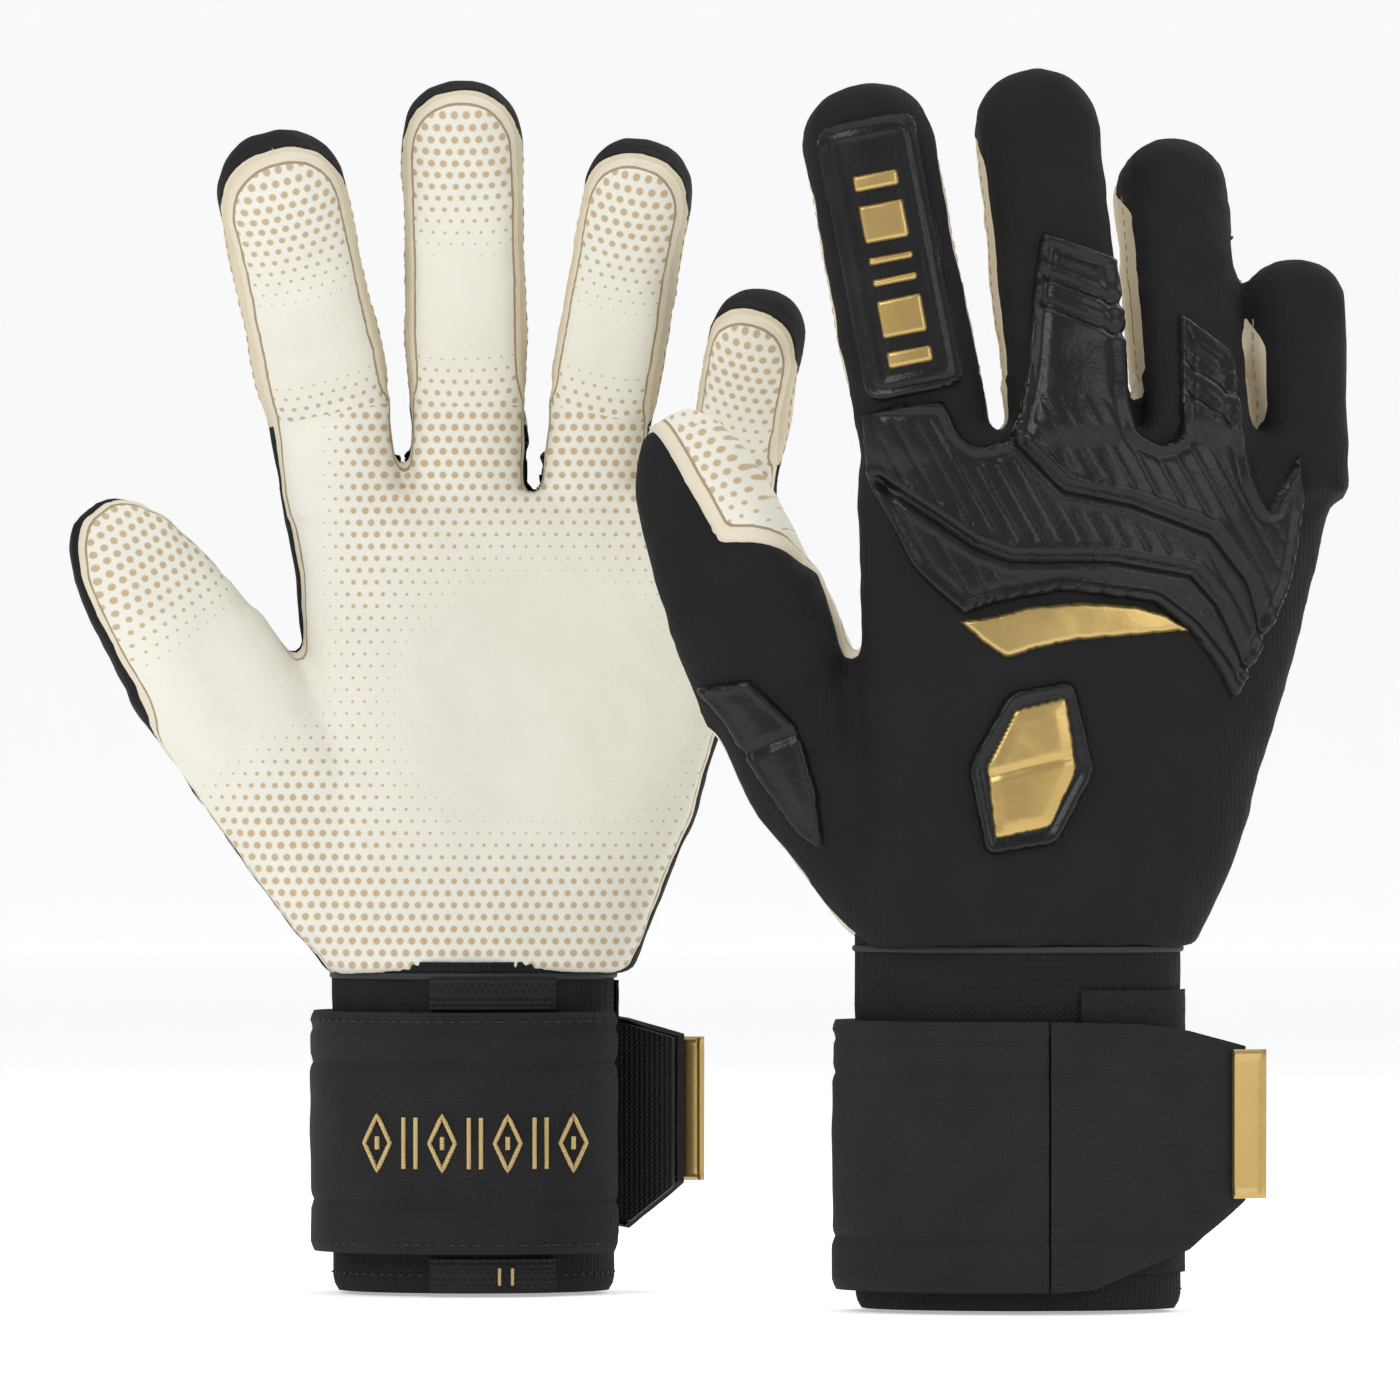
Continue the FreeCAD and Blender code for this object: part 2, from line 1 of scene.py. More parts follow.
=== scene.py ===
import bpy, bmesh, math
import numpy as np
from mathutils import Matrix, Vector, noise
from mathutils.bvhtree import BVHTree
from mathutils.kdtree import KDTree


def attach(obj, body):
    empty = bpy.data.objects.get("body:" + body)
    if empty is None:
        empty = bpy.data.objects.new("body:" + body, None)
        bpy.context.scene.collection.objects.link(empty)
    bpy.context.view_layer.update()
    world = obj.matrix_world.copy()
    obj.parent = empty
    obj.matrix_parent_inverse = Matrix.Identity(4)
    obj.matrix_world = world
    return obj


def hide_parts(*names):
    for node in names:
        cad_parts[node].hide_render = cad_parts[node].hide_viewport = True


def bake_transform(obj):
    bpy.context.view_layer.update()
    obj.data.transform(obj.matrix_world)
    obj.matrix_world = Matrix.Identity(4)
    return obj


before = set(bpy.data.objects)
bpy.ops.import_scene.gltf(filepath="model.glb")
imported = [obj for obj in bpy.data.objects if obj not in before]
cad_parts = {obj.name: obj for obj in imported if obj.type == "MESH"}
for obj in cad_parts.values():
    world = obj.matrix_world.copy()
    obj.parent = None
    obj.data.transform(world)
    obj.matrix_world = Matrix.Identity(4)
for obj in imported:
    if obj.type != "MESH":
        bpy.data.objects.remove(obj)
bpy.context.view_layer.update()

# %% [markdown]
# # Goalkeeper gloves
# Two gloves stand on their cuffs with the fingers up. The left one shows its palm and the
# right one, in front, shows its back. Shapes are worked out in millimetres in each glove's own
# frame: x across the hand from thumb to little finger, y from palm to back, z up.

SIDES = ("left", "right")
FINGERS = ("index", "middle", "ring", "little")
WIDTH = {"index": 30.5, "middle": 28.5, "ring": 25.5, "little": 22.0}
LENGTH = {"index": 75.0, "middle": 79.0, "ring": 70.0, "little": 44.0}
THICK = 24.0
THUMB_ROLL = 20
VOXEL, SMOOTH_PASSES = 1.7, 7
SKIN_WALL = 0.0016
X_AXIS, Y_AXIS = Vector((1, 0, 0)), Vector((0, 1, 0))
# Where each glove stands in the shared frame: x and y.
PLACE = {"left": (-53.3587, 47.5), "right": (74.6413, -50.5)}
# The bend of the hand across its width: radius, middle x and y of the top.
CUP = {"left": (400.0, -1.0, 2.0), "right": (150.0, -23.0, 8.0)}
# Roots of the fingers: x, z, lean and curl in degrees.
ROOTS = {
    "left": {"index": (-33.9, 206.0, -11.6, 30.0), "middle": (-1.4, 208.0, -1.0, 18.0),
             "ring": (29.8, 206.0, 9.9, 25.0), "little": (61.7, 196.0, 10.0, 33.0)},
    "right": {"index": (-24.7, 206.0, -10.9, 4.0), "middle": (9.0, 208.0, -6.0, 18.0),
              "ring": (37.5, 206.0, -4.0, 30.0), "little": (62.3, 197.0, -1.2, 10.0)},
}
# Levels of the hand: z, x from, x to, thickness and y of the bend's top.
HAND = {
    "left": ((75, -35, 37, 48, 0), (92, -39, 44, 46, 0.5), (115, -41, 53, 43, 1), (145, -40, 62, 38, 1.5),
             (170, -42, 69, 33, 2), (181, -44.5, 72, 31, 2), (187, -44, 71, 25, 2)),
    "right": ((83, -37, 36, 46, 3), (100, -38, 44, 45, 4), (120, -38, 50, 42, 5), (145, -38, 58, 37, 7),
              (168, -38, 64, 32, 8), (190, -39, 70, 28.5, 8), (200, -37, 68, 24, 8)),
}
# Sections of the ball of the thumb: x, y, z, lean, width and thickness.
THUMB_BASE = {
    "left": ((-15, 0, 79, 25, 33, 33), (-27, 0, 94, 34.7, 36, 34),
             (-43, -2, 117, 34.7, 37, 32), (-66, -5, 150, 34.7, 38, 30)),
    "right": ((-17, 1, 86, 25, 33, 33), (-29, 0, 98, 39, 34, 32),
              (-48, -2, 124, 30, 36, 31), (-65, -5, 163, 21.6, 38, 30)),
}
# Root of the thumb: x, y, z, lean and curl. Its sections: way along, width and thickness.
THUMB = {"left": (-57.5, -4.0, 137.7, 34.7, 10.0), "right": (-61.0, -4.0, 151.9, 21.6, 10.0)}
THUMB_SECTIONS = ((-14, 37.5, 30), (8, 36, 29), (22, 34, 27), (34, 31, 24.5), (44, 27, 21),
                  (52, 20, 16), (57, 11, 9))
# Cuff: middle x, half width, half depth, top, and the strap's lower edge.
CUFF = {"left": (0.0, 33.5, 25.5, 74.7, 9.5), "right": (-2.0, 37.5, 22.5, 82.7, 4.5)}


# %% [markdown]
# ## Frames
# Each finger has a root, a straight direction that its root plane is square to, and its own
# across, back and along axes.

# %% Frames of the fingers and thumbs
def cup_at(side, x):
    radius, middle, top = CUP[side]
    angle = math.asin((x - middle) / radius)
    return top - radius * (1 - math.cos(angle)), angle


def axes(lean, curl, roll):
    straight = Vector((math.sin(lean), 0, math.cos(lean)))
    along = straight * math.cos(curl) + Vector((0, -math.sin(curl), 0))
    flat_across = Vector((math.cos(lean), 0, -math.sin(lean)))
    flat_back = -flat_across.cross(along)
    across = (flat_across * math.cos(roll) - flat_back * math.sin(roll)).normalized()
    back = (flat_back * math.cos(roll) + flat_across * math.sin(roll)).normalized()
    return {"straight": straight, "along": along, "across": across, "back": back}


def finger_frame(side, name):
    x, z, lean, curl = ROOTS[side][name]
    y, roll = cup_at(side, x)
    f = axes(math.radians(lean), math.radians(curl), roll)
    f["root"] = Vector((x, y, z))
    return f


def thumb_frame(side):
    x, y, z, lean, curl = THUMB[side]
    f = axes(-math.radians(lean), math.radians(curl), -math.radians(THUMB_ROLL))
    f["root"] = Vector((x, y, z))
    return f


FRAMES = {side: dict({n: finger_frame(side, n) for n in FINGERS}, thumb=thumb_frame(side))
          for side in SIDES}


def nearest_finger(side, p):
    """The finger whose middle line is nearest to a point, counted in finger widths."""
    def gap(name):
        f = FRAMES[side][name]
        return abs((p - f["root"]).dot(f["across"])) / WIDTH[name]
    return min(FINGERS, key=gap)


def to_world(side, p):
    dx, dy = PLACE[side]
    y = p[1] if side == "left" else -p[1]
    return Vector(((p[0] + dx) / 1000, (y + dy) / 1000, p[2] / 1000))


# %% Small helpers for meshes
def tube_object(name, rings):
    """A closed tube through rings of points."""
    bm = bmesh.new()
    loops = [[bm.verts.new(p) for p in ring] for ring in rings]
    n = len(loops[0])
    for low, high in zip(loops, loops[1:]):
        for i in range(n):
            bm.faces.new((low[i], low[(i + 1) % n], high[(i + 1) % n], high[i]))
    bm.faces.new(list(reversed(loops[0])))
    bm.faces.new(loops[-1])
    return new_object(name, bm)


def oval_ring(centre, across, back, width, thick, power=2.6, count=48):
    ring = []
    for i in range(count):
        a = 2 * math.pi * i / count
        c, s = math.cos(a), math.sin(a)
        u = math.copysign(abs(c) ** (2 / power), c) * width / 2
        v = math.copysign(abs(s) ** (2 / power), s) * thick / 2
        ring.append(centre + across * u + back * v)
    return ring


def bent_ring(side, level):
    """A level of the hand, bent to the cup of the palm."""
    z, x_low, x_high, thick, top = level
    radius, middle, _ = CUP[side]
    ring = []
    for p in oval_ring(Vector(((x_low + x_high) / 2, 0, z)), X_AXIS, Y_AXIS,
                       x_high - x_low, thick, 2.9, 64):
        angle = math.asin(max(-0.95, min(0.95, (p.x - middle) / radius)))
        r = radius + p.y
        ring.append(Vector((middle + r * math.sin(angle), top - radius + r * math.cos(angle), z)))
    return ring


def new_object(name, bm):
    mesh = bpy.data.meshes.new(name)
    bm.to_mesh(mesh)
    bm.free()
    obj = bpy.data.objects.new(name, mesh)
    bpy.context.scene.collection.objects.link(obj)
    return obj


def activate(obj):
    bpy.ops.object.select_all(action="DESELECT")
    obj.select_set(True)
    bpy.context.view_layer.objects.active = obj


def apply_modifiers(obj):
    activate(obj)
    for modifier in list(obj.modifiers):
        bpy.ops.object.modifier_apply(modifier=modifier.name)


def join_objects(objects, name):
    activate(objects[0])
    for obj in objects:
        obj.select_set(True)
    bpy.ops.object.join()
    objects[0].name = name
    return objects[0]


# %% [markdown]
# ## The skin of a glove
# The hand, the fingers and the thumb are rough tubes. Joined, remeshed and smoothed they become
# one padded skin, which is then cut along its seams.

# %% Rough tubes of one glove
def finger_rings(side, name):
    f = FRAMES[side][name]
    width, length = WIDTH[name], LENGTH[name]
    half = width / 2
    rings = []
    if side == "left":
        for z in (-24, -16, -8, -2):
            centre = f["root"] + Vector((0.62 * z * f["straight"].x / f["straight"].z, 0, z))
            rings.append(oval_ring(centre, X_AXIS, Y_AXIS, width * 0.94, THICK + 2, 2.7))
    stations = [-12, 0, 8, 18, 28, 40, 52, 64, 76]
    shoulder = length - half * 0.92
    stations = [s for s in stations if s < shoulder - 3] + [shoulder]
    for s in stations:
        if side == "left" and s < 4:
            continue
        puff = 1.0 + 0.012 * math.sin(s / 9.0)
        rings.append(oval_ring(f["root"] + f["along"] * s, f["across"], f["back"],
                               width * puff, THICK, 2.7))
    for k in range(1, 8):
        a = math.pi / 2 * k / 8
        reach = shoulder + (length - shoulder) * math.sin(a)
        w = width * math.cos(a) ** 0.9
        t = THICK * max(0.25, math.cos(a) ** 0.6)
        rings.append(oval_ring(f["root"] + f["along"] * reach, f["across"], f["back"],
                               max(w, 6), min(t, THICK), 2.5))
    return rings


def rough_glove(side):
    rings = {"hand": [bent_ring(side, level) for level in HAND[side]]}
    for name in FINGERS:
        rings[name] = finger_rings(side, name)
    rings["base"] = []
    for x, y, z, lean, width, thick in THUMB_BASE[side]:
        a = math.radians(lean)
        across = Vector((math.cos(a), 0, math.sin(a)))
        rings["base"].append(oval_ring(Vector((x, y, z)), across, Y_AXIS, width, thick))
    f = FRAMES[side]["thumb"]
    rings["thumb"] = [oval_ring(f["root"] + f["along"] * s, f["across"], f["back"], w, t)
                      for s, w, t in THUMB_SECTIONS]
    parts = [tube_object(f"{side}_rough_{name}", loops) for name, loops in rings.items()]
    skin = join_objects(parts, side + "_skin")
    remesh = skin.modifiers.new("remesh", "REMESH")
    remesh.mode = "VOXEL"
    remesh.voxel_size = VOXEL
    smooth = skin.modifiers.new("smooth", "SMOOTH")
    smooth.factor = 0.5
    smooth.iterations = SMOOTH_PASSES
    apply_modifiers(skin)
    return skin


SKIN = {side: rough_glove(side) for side in SIDES}
print("skins", {s: len(o.data.vertices) for s, o in SKIN.items()})


# %% [markdown]
# ## Cutting the skin along its seams
# A seam is where a smooth function of position is zero. Edges that cross it are split there, so
# every seam is a clean line of vertices.

# %% Seam functions
def bump_at(d, centre, width):
    """A smooth bump, 1 high, round centre."""
    return math.exp(-((d - centre) / width) ** 2)


def smoothstep(low, high, x):
    t = max(0.0, min(1.0, (x - low) / (high - low)))
    return t * t * (3 - 2 * t)


def at_level(table, z, column):
    if z <= table[0][0]:
        return table[0][column]
    for a, b in zip(table, table[1:]):
        if z <= b[0]:
            t = (z - a[0]) / (b[0] - a[0])
            return a[column] * (1 - t) + b[column] * t
    return table[-1][column]


def hand_side(side, p):
    """Below zero on the palm side of the hand's side seam."""
    radius, middle, _ = CUP[side]
    x = max(-radius * 0.9, min(radius * 0.9, p.x - middle))
    cup = at_level(HAND[side], p.z, 4) - radius + math.sqrt(radius * radius - x * x)
    base = at_level([(s[2], s[1]) for s in THUMB_BASE[side]], p.z, 1)
    t = smoothstep(-56, -36, p.x)
    return p.y - (base * (1 - t) + cup * t) + (1.5 if side == "left" else -1.0)


def local(f, p):
    d = p - f["root"]
    return d.dot(f["across"]), d.dot(f["back"]), d.dot(f["along"])


def thumb_side(side, p):
    u, v, s = local(FRAMES[side]["thumb"], p)
    low = hand_side(side, p)
    t = smoothstep(0, 14, s)
    wrap = 0.0
    if side == "right":
        wrap = 15.0 * smoothstep(8, 24, s) * smoothstep(-12, 6, u)
    return (v + 1.5 - wrap) * t + low * (1 - t)


def owner(side, p):
    """The finger, thumb or hand that a point of the skin belongs to."""
    f = FRAMES[side]["thumb"]
    d = p - f["root"]
    beside_index = p.x < FRAMES[side]["index"]["root"].x - 8 and p.z < 202
    if beside_index and d.dot(f["straight"]) > 0 and d.dot(f["across"]) < 26:
        return "thumb"
    if p.z > 185:
        return finger_or_hand(side, p)
    return "hand"


def finger_or_hand(side, p):
    """The nearest finger, or the hand below that finger's root plane."""
    best = nearest_finger(side, p)
    f = FRAMES[side][best]
    return best if (p - f["root"]).dot(f["straight"]) > 0 else "hand"


def root_field(side, name):
    """Height over the root plane of a finger or the thumb, and None away from that plane."""
    f = FRAMES[side][name]
    index_x = FRAMES[side]["index"]["root"].x

    def field(p):
        d = p - f["root"]
        height = d.dot(f["straight"])
        if name == "thumb":
            near = p.x < index_x - 6 and p.z < 200 and d.dot(f["across"]) < 27
        else:
            near = abs(height) <= 8 and nearest_finger(side, p) == name
        return height if near else None
    return field


def cut(bm, field, known=None):
    """Splits edges where field crosses zero, then joins the new vertices across each face."""
    snap = 0.15 if known is None else 0.03
    value = {}
    for i, v in enumerate(bm.verts):
        x = field(v.co) if known is None else float(known[i])
        value[v] = 0.0 if x is not None and abs(x) < snap else x
    for e in list(bm.edges):
        a, b = e.verts
        fa, fb = value[a], value[b]
        if fa is None or fb is None or fa * fb >= 0:
            continue
        _, v = bmesh.utils.edge_split(e, a, fa / (fa - fb))
        value[v] = 0.0
    for face in list(bm.faces):
        on = [v for v in face.verts if value[v] == 0.0]
        if len(on) == 2 and len(face.verts) > 3:
            a, b = on
            if not any(e.other_vert(a) is b for e in a.link_edges):
                bmesh.utils.face_split(face, a, b)
    bmesh.ops.triangulate(bm, faces=[f for f in bm.faces if len(f.verts) > 3])


def cut_skin(side):
    bm = bmesh.new()
    bm.from_mesh(SKIN[side].data)
    bmesh.ops.triangulate(bm, faces=bm.faces[:])
    for name in FINGERS + ("thumb",):
        cut(bm, root_field(side, name))

    def front(p):
        name = owner(side, p)
        if name == "hand":
            return hand_side(side, p)
        if name == "thumb":
            return thumb_side(side, p)
        _, v, s = local(FRAMES[side][name], p)
        t = smoothstep(0, 10, s)
        return (v + 5.0) * t + hand_side(side, p) * (1 - t)

    def rear(p):
        name = owner(side, p)
        if name in ("hand", "thumb"):
            return None
        _, v, s = local(FRAMES[side][name], p)
        tip = smoothstep(LENGTH[name] - 24, LENGTH[name] - 10, s)
        return v - (4.5 - 8.0 * tip) * smoothstep(0, 8, s) + 0.4

    cut(bm, front)
    cut(bm, rear)
    kinds = {}
    for face in bm.faces:
        p = face.calc_center_median()
        name = owner(side, p)
        if name == "hand":
            kinds[face.index] = "palm_latex" if front(p) < 0 else "back_panel"
        elif name == "thumb":
            kinds[face.index] = "thumb_latex" if front(p) < 0 else "thumb_back"
        elif front(p) < 0:
            kinds[face.index] = name + "_latex"
        else:
            kinds[face.index] = name + ("_back" if rear(p) > 0 else "_gusset")
    bm.verts.index_update()
    bm.faces.index_update()
    verts = [v.co.copy() for v in bm.verts]
    faces = [tuple(v.index for v in f.verts) for f in bm.faces]
    names = [kinds[i] for i in range(len(faces))]
    bm.free()
    return verts, faces, names


CUTS = {side: cut_skin(side) for side in SIDES}


# %% [markdown]
# ## Materials
# Every finish is a few plain values plus small shared node groups for relief and pattern.

# %% Node groups
def link_nodes(tree, kind, inputs=None, **settings):
    node = tree.nodes.new(kind)
    for key, value in settings.items():
        setattr(node, key, value)
    for key, value in (inputs or {}).items():
        if hasattr(value, "links"):
            tree.links.new(value, node.inputs[key])
        else:
            node.inputs[key].default_value = value
    return node


def group(name, inputs, outputs):
    tree = bpy.data.node_groups.new(name, "ShaderNodeTree")
    for label, kind, default in inputs:
        socket = tree.interface.new_socket(label, in_out="INPUT", socket_type=kind)
        if default is not None:
            socket.default_value = default
    for label, kind in outputs:
        tree.interface.new_socket(label, in_out="OUTPUT", socket_type=kind)
    return tree, tree.nodes.new("NodeGroupInput"), tree.nodes.new("NodeGroupOutput")


def calc(tree, op, a, b=0.0, c=0.0):
    node = tree.nodes.new("ShaderNodeMath")
    node.operation = op
    for i, value in enumerate((a, b, c)):
        if hasattr(value, "links"):
            tree.links.new(value, node.inputs[i])
        else:
            node.inputs[i].default_value = value
    return node.outputs[0]


def bumped(tree, gin, distance, height):
    return link_nodes(tree, "ShaderNodeBump", {
        "Strength": gin.outputs["Strength"], "Distance": distance, "Height": height}).outputs[0]


def mixed(tree, factor, a, b):
    return link_nodes(tree, "ShaderNodeMix", {0: factor, 6: a, 7: b}, data_type="RGBA").outputs[2]


def noise_of(tree, coord, scale):
    return link_nodes(tree, "ShaderNodeTexNoise", {
        "Vector": coord.outputs["Object"], "Scale": scale}).outputs[0]


def wave_along(tree, value, pitch):
    return calc(tree, "SINE", calc(tree, "DIVIDE", calc(tree, "MULTIPLY", value, 6.2832), pitch))


def make_relief():
    """Leather- or foam-like grain: a fine and a coarse noise."""
    tree, gin, gout = group("relief", [("Scale", "NodeSocketFloat", 900.0),
                                       ("Strength", "NodeSocketFloat", 0.3)],
                            [("Normal", "NodeSocketVector")])
    coord = tree.nodes.new("ShaderNodeTexCoord")
    fine = noise_of(tree, coord, gin.outputs["Scale"])
    height = calc(tree, "MULTIPLY_ADD", noise_of(tree, coord, 90.0), 1.2, fine)
    tree.links.new(bumped(tree, gin, 0.0006, height), gout.inputs[0])
    return tree


def make_weave():
    """Threads crossing at right angles, as a bump and as a light-and-dark factor."""
    tree, gin, gout = group("weave", [("Pitch", "NodeSocketFloat", 1.0), ("Slant", "NodeSocketFloat", 0.0),
                                      ("Strength", "NodeSocketFloat", 0.5)],
                            [("Normal", "NodeSocketVector"), ("Factor", "NodeSocketFloat")])
    pattern = link_nodes(tree, "ShaderNodeAttribute", attribute_name="pattern")
    split = link_nodes(tree, "ShaderNodeSeparateXYZ", {0: pattern.outputs["Vector"]})
    x, y = split.outputs[0], split.outputs[1]
    slanted = calc(tree, "MULTIPLY_ADD", y, gin.outputs["Slant"], x)
    warp = wave_along(tree, slanted, gin.outputs["Pitch"])
    weft = wave_along(tree, y, gin.outputs["Pitch"])
    height = calc(tree, "MULTIPLY_ADD", calc(tree, "MULTIPLY", warp, weft), 0.25,
                  calc(tree, "MULTIPLY_ADD", warp, 0.25, 0.5))
    tree.links.new(bumped(tree, gin, 0.0005, height), gout.inputs[0])
    tree.links.new(height, gout.inputs[1])
    return tree


def make_dots():
    """Round dots in staggered rows; the piece's dots attribute sets their size."""
    tree, gin, gout = group("dots", [("Pitch", "NodeSocketFloat", 3.2)], [("Factor", "NodeSocketFloat")])
    pattern = link_nodes(tree, "ShaderNodeAttribute", attribute_name="pattern")
    size = link_nodes(tree, "ShaderNodeAttribute", attribute_name="dots")
    split = link_nodes(tree, "ShaderNodeSeparateXYZ", {0: pattern.outputs["Vector"]})
    x = calc(tree, "DIVIDE", split.outputs[0], gin.outputs["Pitch"])
    y = calc(tree, "DIVIDE", split.outputs[1], gin.outputs["Pitch"])
    row = calc(tree, "FLOOR", y)
    x = calc(tree, "MULTIPLY_ADD", calc(tree, "MODULO", row, 2.0), 0.5, x)
    dx = calc(tree, "SUBTRACT", calc(tree, "FRACT", x), 0.5)
    dy = calc(tree, "SUBTRACT", calc(tree, "FRACT", y), 0.5)
    d = calc(tree, "SQRT", calc(tree, "MULTIPLY_ADD", dx, dx, calc(tree, "MULTIPLY", dy, dy)))
    radius = calc(tree, "MULTIPLY", size.outputs["Fac"], 0.36)
    factor = calc(tree, "MULTIPLY", calc(tree, "SUBTRACT", radius, d), 9.0)
    factor = calc(tree, "MINIMUM", calc(tree, "MAXIMUM", factor, 0.0), 1.0)
    tree.links.new(factor, gout.inputs[0])
    return tree


def make_mottle():
    """Slow change of a colour between two tones."""
    tree, gin, gout = group("mottle", [("A", "NodeSocketColor", None), ("B", "NodeSocketColor", None),
                                       ("Scale", "NodeSocketFloat", 60.0)], [("Color", "NodeSocketColor")])
    coord = tree.nodes.new("ShaderNodeTexCoord")
    tone = mixed(tree, noise_of(tree, coord, gin.outputs["Scale"]), gin.outputs["A"], gin.outputs["B"])
    tree.links.new(tone, gout.inputs[0])
    return tree


RELIEF, WEAVE, DOTS, MOTTLE = make_relief(), make_weave(), make_dots(), make_mottle()


def use(tree, shared, **inputs):
    node = tree.nodes.new("ShaderNodeGroup")
    node.node_tree = shared
    for key, value in inputs.items():
        node.inputs[key].default_value = value
    return node


# %% Finishes
def finish(name, colour, second=None, rough=0.6, metal=0.0, shine=0.22, relief=None, weave=None,
           scale=60.0):
    """A plain finish; relief is (scale, strength) and weave is (pitch, slant, strength)."""
    mat = bpy.data.materials.new(name)
    mat.use_nodes = True
    tree = mat.node_tree
    shader = tree.nodes["Principled BSDF"]
    shader.inputs["Base Color"].default_value = (*colour, 1)
    shader.inputs["Roughness"].default_value = rough
    shader.inputs["Metallic"].default_value = metal
    shader.inputs["Specular IOR Level"].default_value = shine
    if second:
        node = use(tree, MOTTLE, A=(*colour, 1), B=(*second, 1), Scale=scale)
        tree.links.new(node.outputs[0], shader.inputs["Base Color"])
    if relief:
        node = use(tree, RELIEF, Scale=relief[0], Strength=relief[1])
        tree.links.new(node.outputs[0], shader.inputs["Normal"])
    if weave:
        node = use(tree, WEAVE, Pitch=weave[0], Slant=weave[1], Strength=weave[2])
        tree.links.new(node.outputs[0], shader.inputs["Normal"])
    return mat


def latex_finish():
    mat = finish("latex", (0.80, 0.765, 0.67), rough=0.72, relief=(1100.0, 0.22))
    tree = mat.node_tree
    shader = tree.nodes["Principled BSDF"]
    ground = use(tree, MOTTLE, A=(0.76, 0.75, 0.67, 1), B=(0.69, 0.67, 0.58, 1), Scale=38.0)
    dots = use(tree, DOTS, Pitch=2.8)
    tone = mixed(tree, dots.outputs[0], ground.outputs[0], (0.50, 0.39, 0.25, 1))
    edge = link_nodes(tree, "ShaderNodeAttribute", attribute_name="edge")
    welt = calc(tree, "LESS_THAN", edge.outputs["Fac"], 3.6)
    tone = mixed(tree, welt, tone, (0.68, 0.62, 0.49, 1))
    # A thin dark line just past the welt: the seam between welt and latex, darkened with painted shadow for
    # its groove.
    line = calc(tree, "COMPARE", edge.outputs["Fac"], 3.8, 0.35)
    tree.links.new(mixed(tree, line, tone, (0.34, 0.26, 0.16, 1)), shader.inputs["Base Color"])
    return mat


# Two tones of each finish and what else it needs.
FINISHES = {
    "gusset": ((0.60, 0.52, 0.38), (0.68, 0.61, 0.47), dict(rough=0.85, relief=(1300.0, 0.35))),
    "back_cloth": ((0.007, 0.007, 0.008), (0.012, 0.012, 0.013), dict(rough=0.85, weave=(1.1, 0.0, 0.35))),
    "moulded_rubber": ((0.004, 0.004, 0.0045), (0.009, 0.009, 0.0095),
                       dict(rough=0.33, shine=0.30, relief=(800.0, 0.25), scale=300.0)),
    "gold_trim": ((0.46, 0.31, 0.10), (0.56, 0.40, 0.16),
                  dict(rough=0.36, metal=0.85, shine=0.5, relief=(700.0, 0.10))),
    "knit": ((0.008, 0.008, 0.009), (0.016, 0.016, 0.017), dict(rough=0.9, weave=(1.5, 0.0, 0.9))),
    "strap_twill": ((0.010, 0.010, 0.0105), (0.018, 0.018, 0.019), dict(rough=0.75, weave=(0.9, 0.8, 0.6))),
    "loop_pile": ((0.010, 0.010, 0.011), (0.022, 0.022, 0.023),
                  dict(rough=0.97, relief=(1800.0, 0.9), scale=700.0)),
    "hook": ((0.022, 0.022, 0.024), None, dict(rough=0.55, weave=(1.2, 0.0, 0.9))),
    "webbing": ((0.012, 0.012, 0.013), (0.022, 0.022, 0.023), dict(rough=0.7, weave=(1.6, 0.6, 0.9))),
    "embroidery": ((0.66, 0.48, 0.19), (0.76, 0.58, 0.28),
                   dict(rough=0.5, metal=0.35, shine=0.5, weave=(0.6, 1.0, 0.8))),
    "seam_thread": ((0.36, 0.27, 0.16), None, dict(rough=0.7)),
    "black_thread": ((0.03, 0.03, 0.03), None, dict(rough=0.6)),
}
MATS = {name: finish(name, first, second, **rest) for name, (first, second, rest) in FINISHES.items()}
MATS["latex"] = latex_finish()


# %% [markdown]
# ## Pieces of the skin
# The seams are drawn in a little, the cloth gets slow folds, then each region becomes its own
# piece with a wall. Vertices keep their distance to the seam and their place in the pattern.

# %% Dots of the latex
def dot_size(side, name, s, p):
    """Size of the printed dots at p, s mm along its finger: 0 for none, 1 for full."""
    if name in FINGERS:
        length = LENGTH[name]
        top = smoothstep(length - 52, length - 14, s)
        low = 0.85 * (1 - smoothstep(4, 26, s))
        return max(top, low)
    if name == "thumb":
        return smoothstep(8, 40, s)
    thumb = FRAMES[side]["thumb"]
    below_thumb = (thumb["root"] - p).dot(thumb["straight"])
    towards_thumb = max(smoothstep(2, 28, below_thumb), smoothstep(-42, -24, p.x))
    bare = math.hypot((p.x - 18) / 1.15, p.z - 138)
    return max(smoothstep(14, 62, bare), 0.9 * (1 - smoothstep(92, 122, p.z))) * towards_thumb


# %% Building the skin pieces
def wall(obj, thick):
    solid = obj.modifiers.new("wall", "SOLIDIFY")
    solid.thickness = thick
    solid.offset = -1
    apply_modifiers(obj)


def shade(obj, angle=50):
    activate(obj)
    bpy.ops.object.shade_smooth_by_angle(angle=math.radians(angle))


def store(obj, name, values):
    attribute = obj.data.attributes.new(name, "FLOAT", "POINT")
    attribute.data.foreach_set("value", values)


def store_pattern(obj, places):
    """Places of the vertices in the material's pattern, in millimetres."""
    attribute = obj.data.attributes.new("pattern", "FLOAT_VECTOR", "POINT")
    attribute.data.foreach_set("vector", [c for x, y in places for c in (x, y, 0.0)])


def mesh_object(name, verts, faces, side):
    """A mesh in the glove's own frame, moved to its place. The right glove is a mirror image."""
    mesh = bpy.data.meshes.new(name)
    placed = [to_world(side, p) for p in verts]
    if side == "right":
        faces = [tuple(reversed(f)) for f in faces]
    mesh.from_pydata(placed, [], faces)
    mesh.update()
    obj = bpy.data.objects.new(name, mesh)
    bpy.context.scene.collection.objects.link(obj)
    return obj


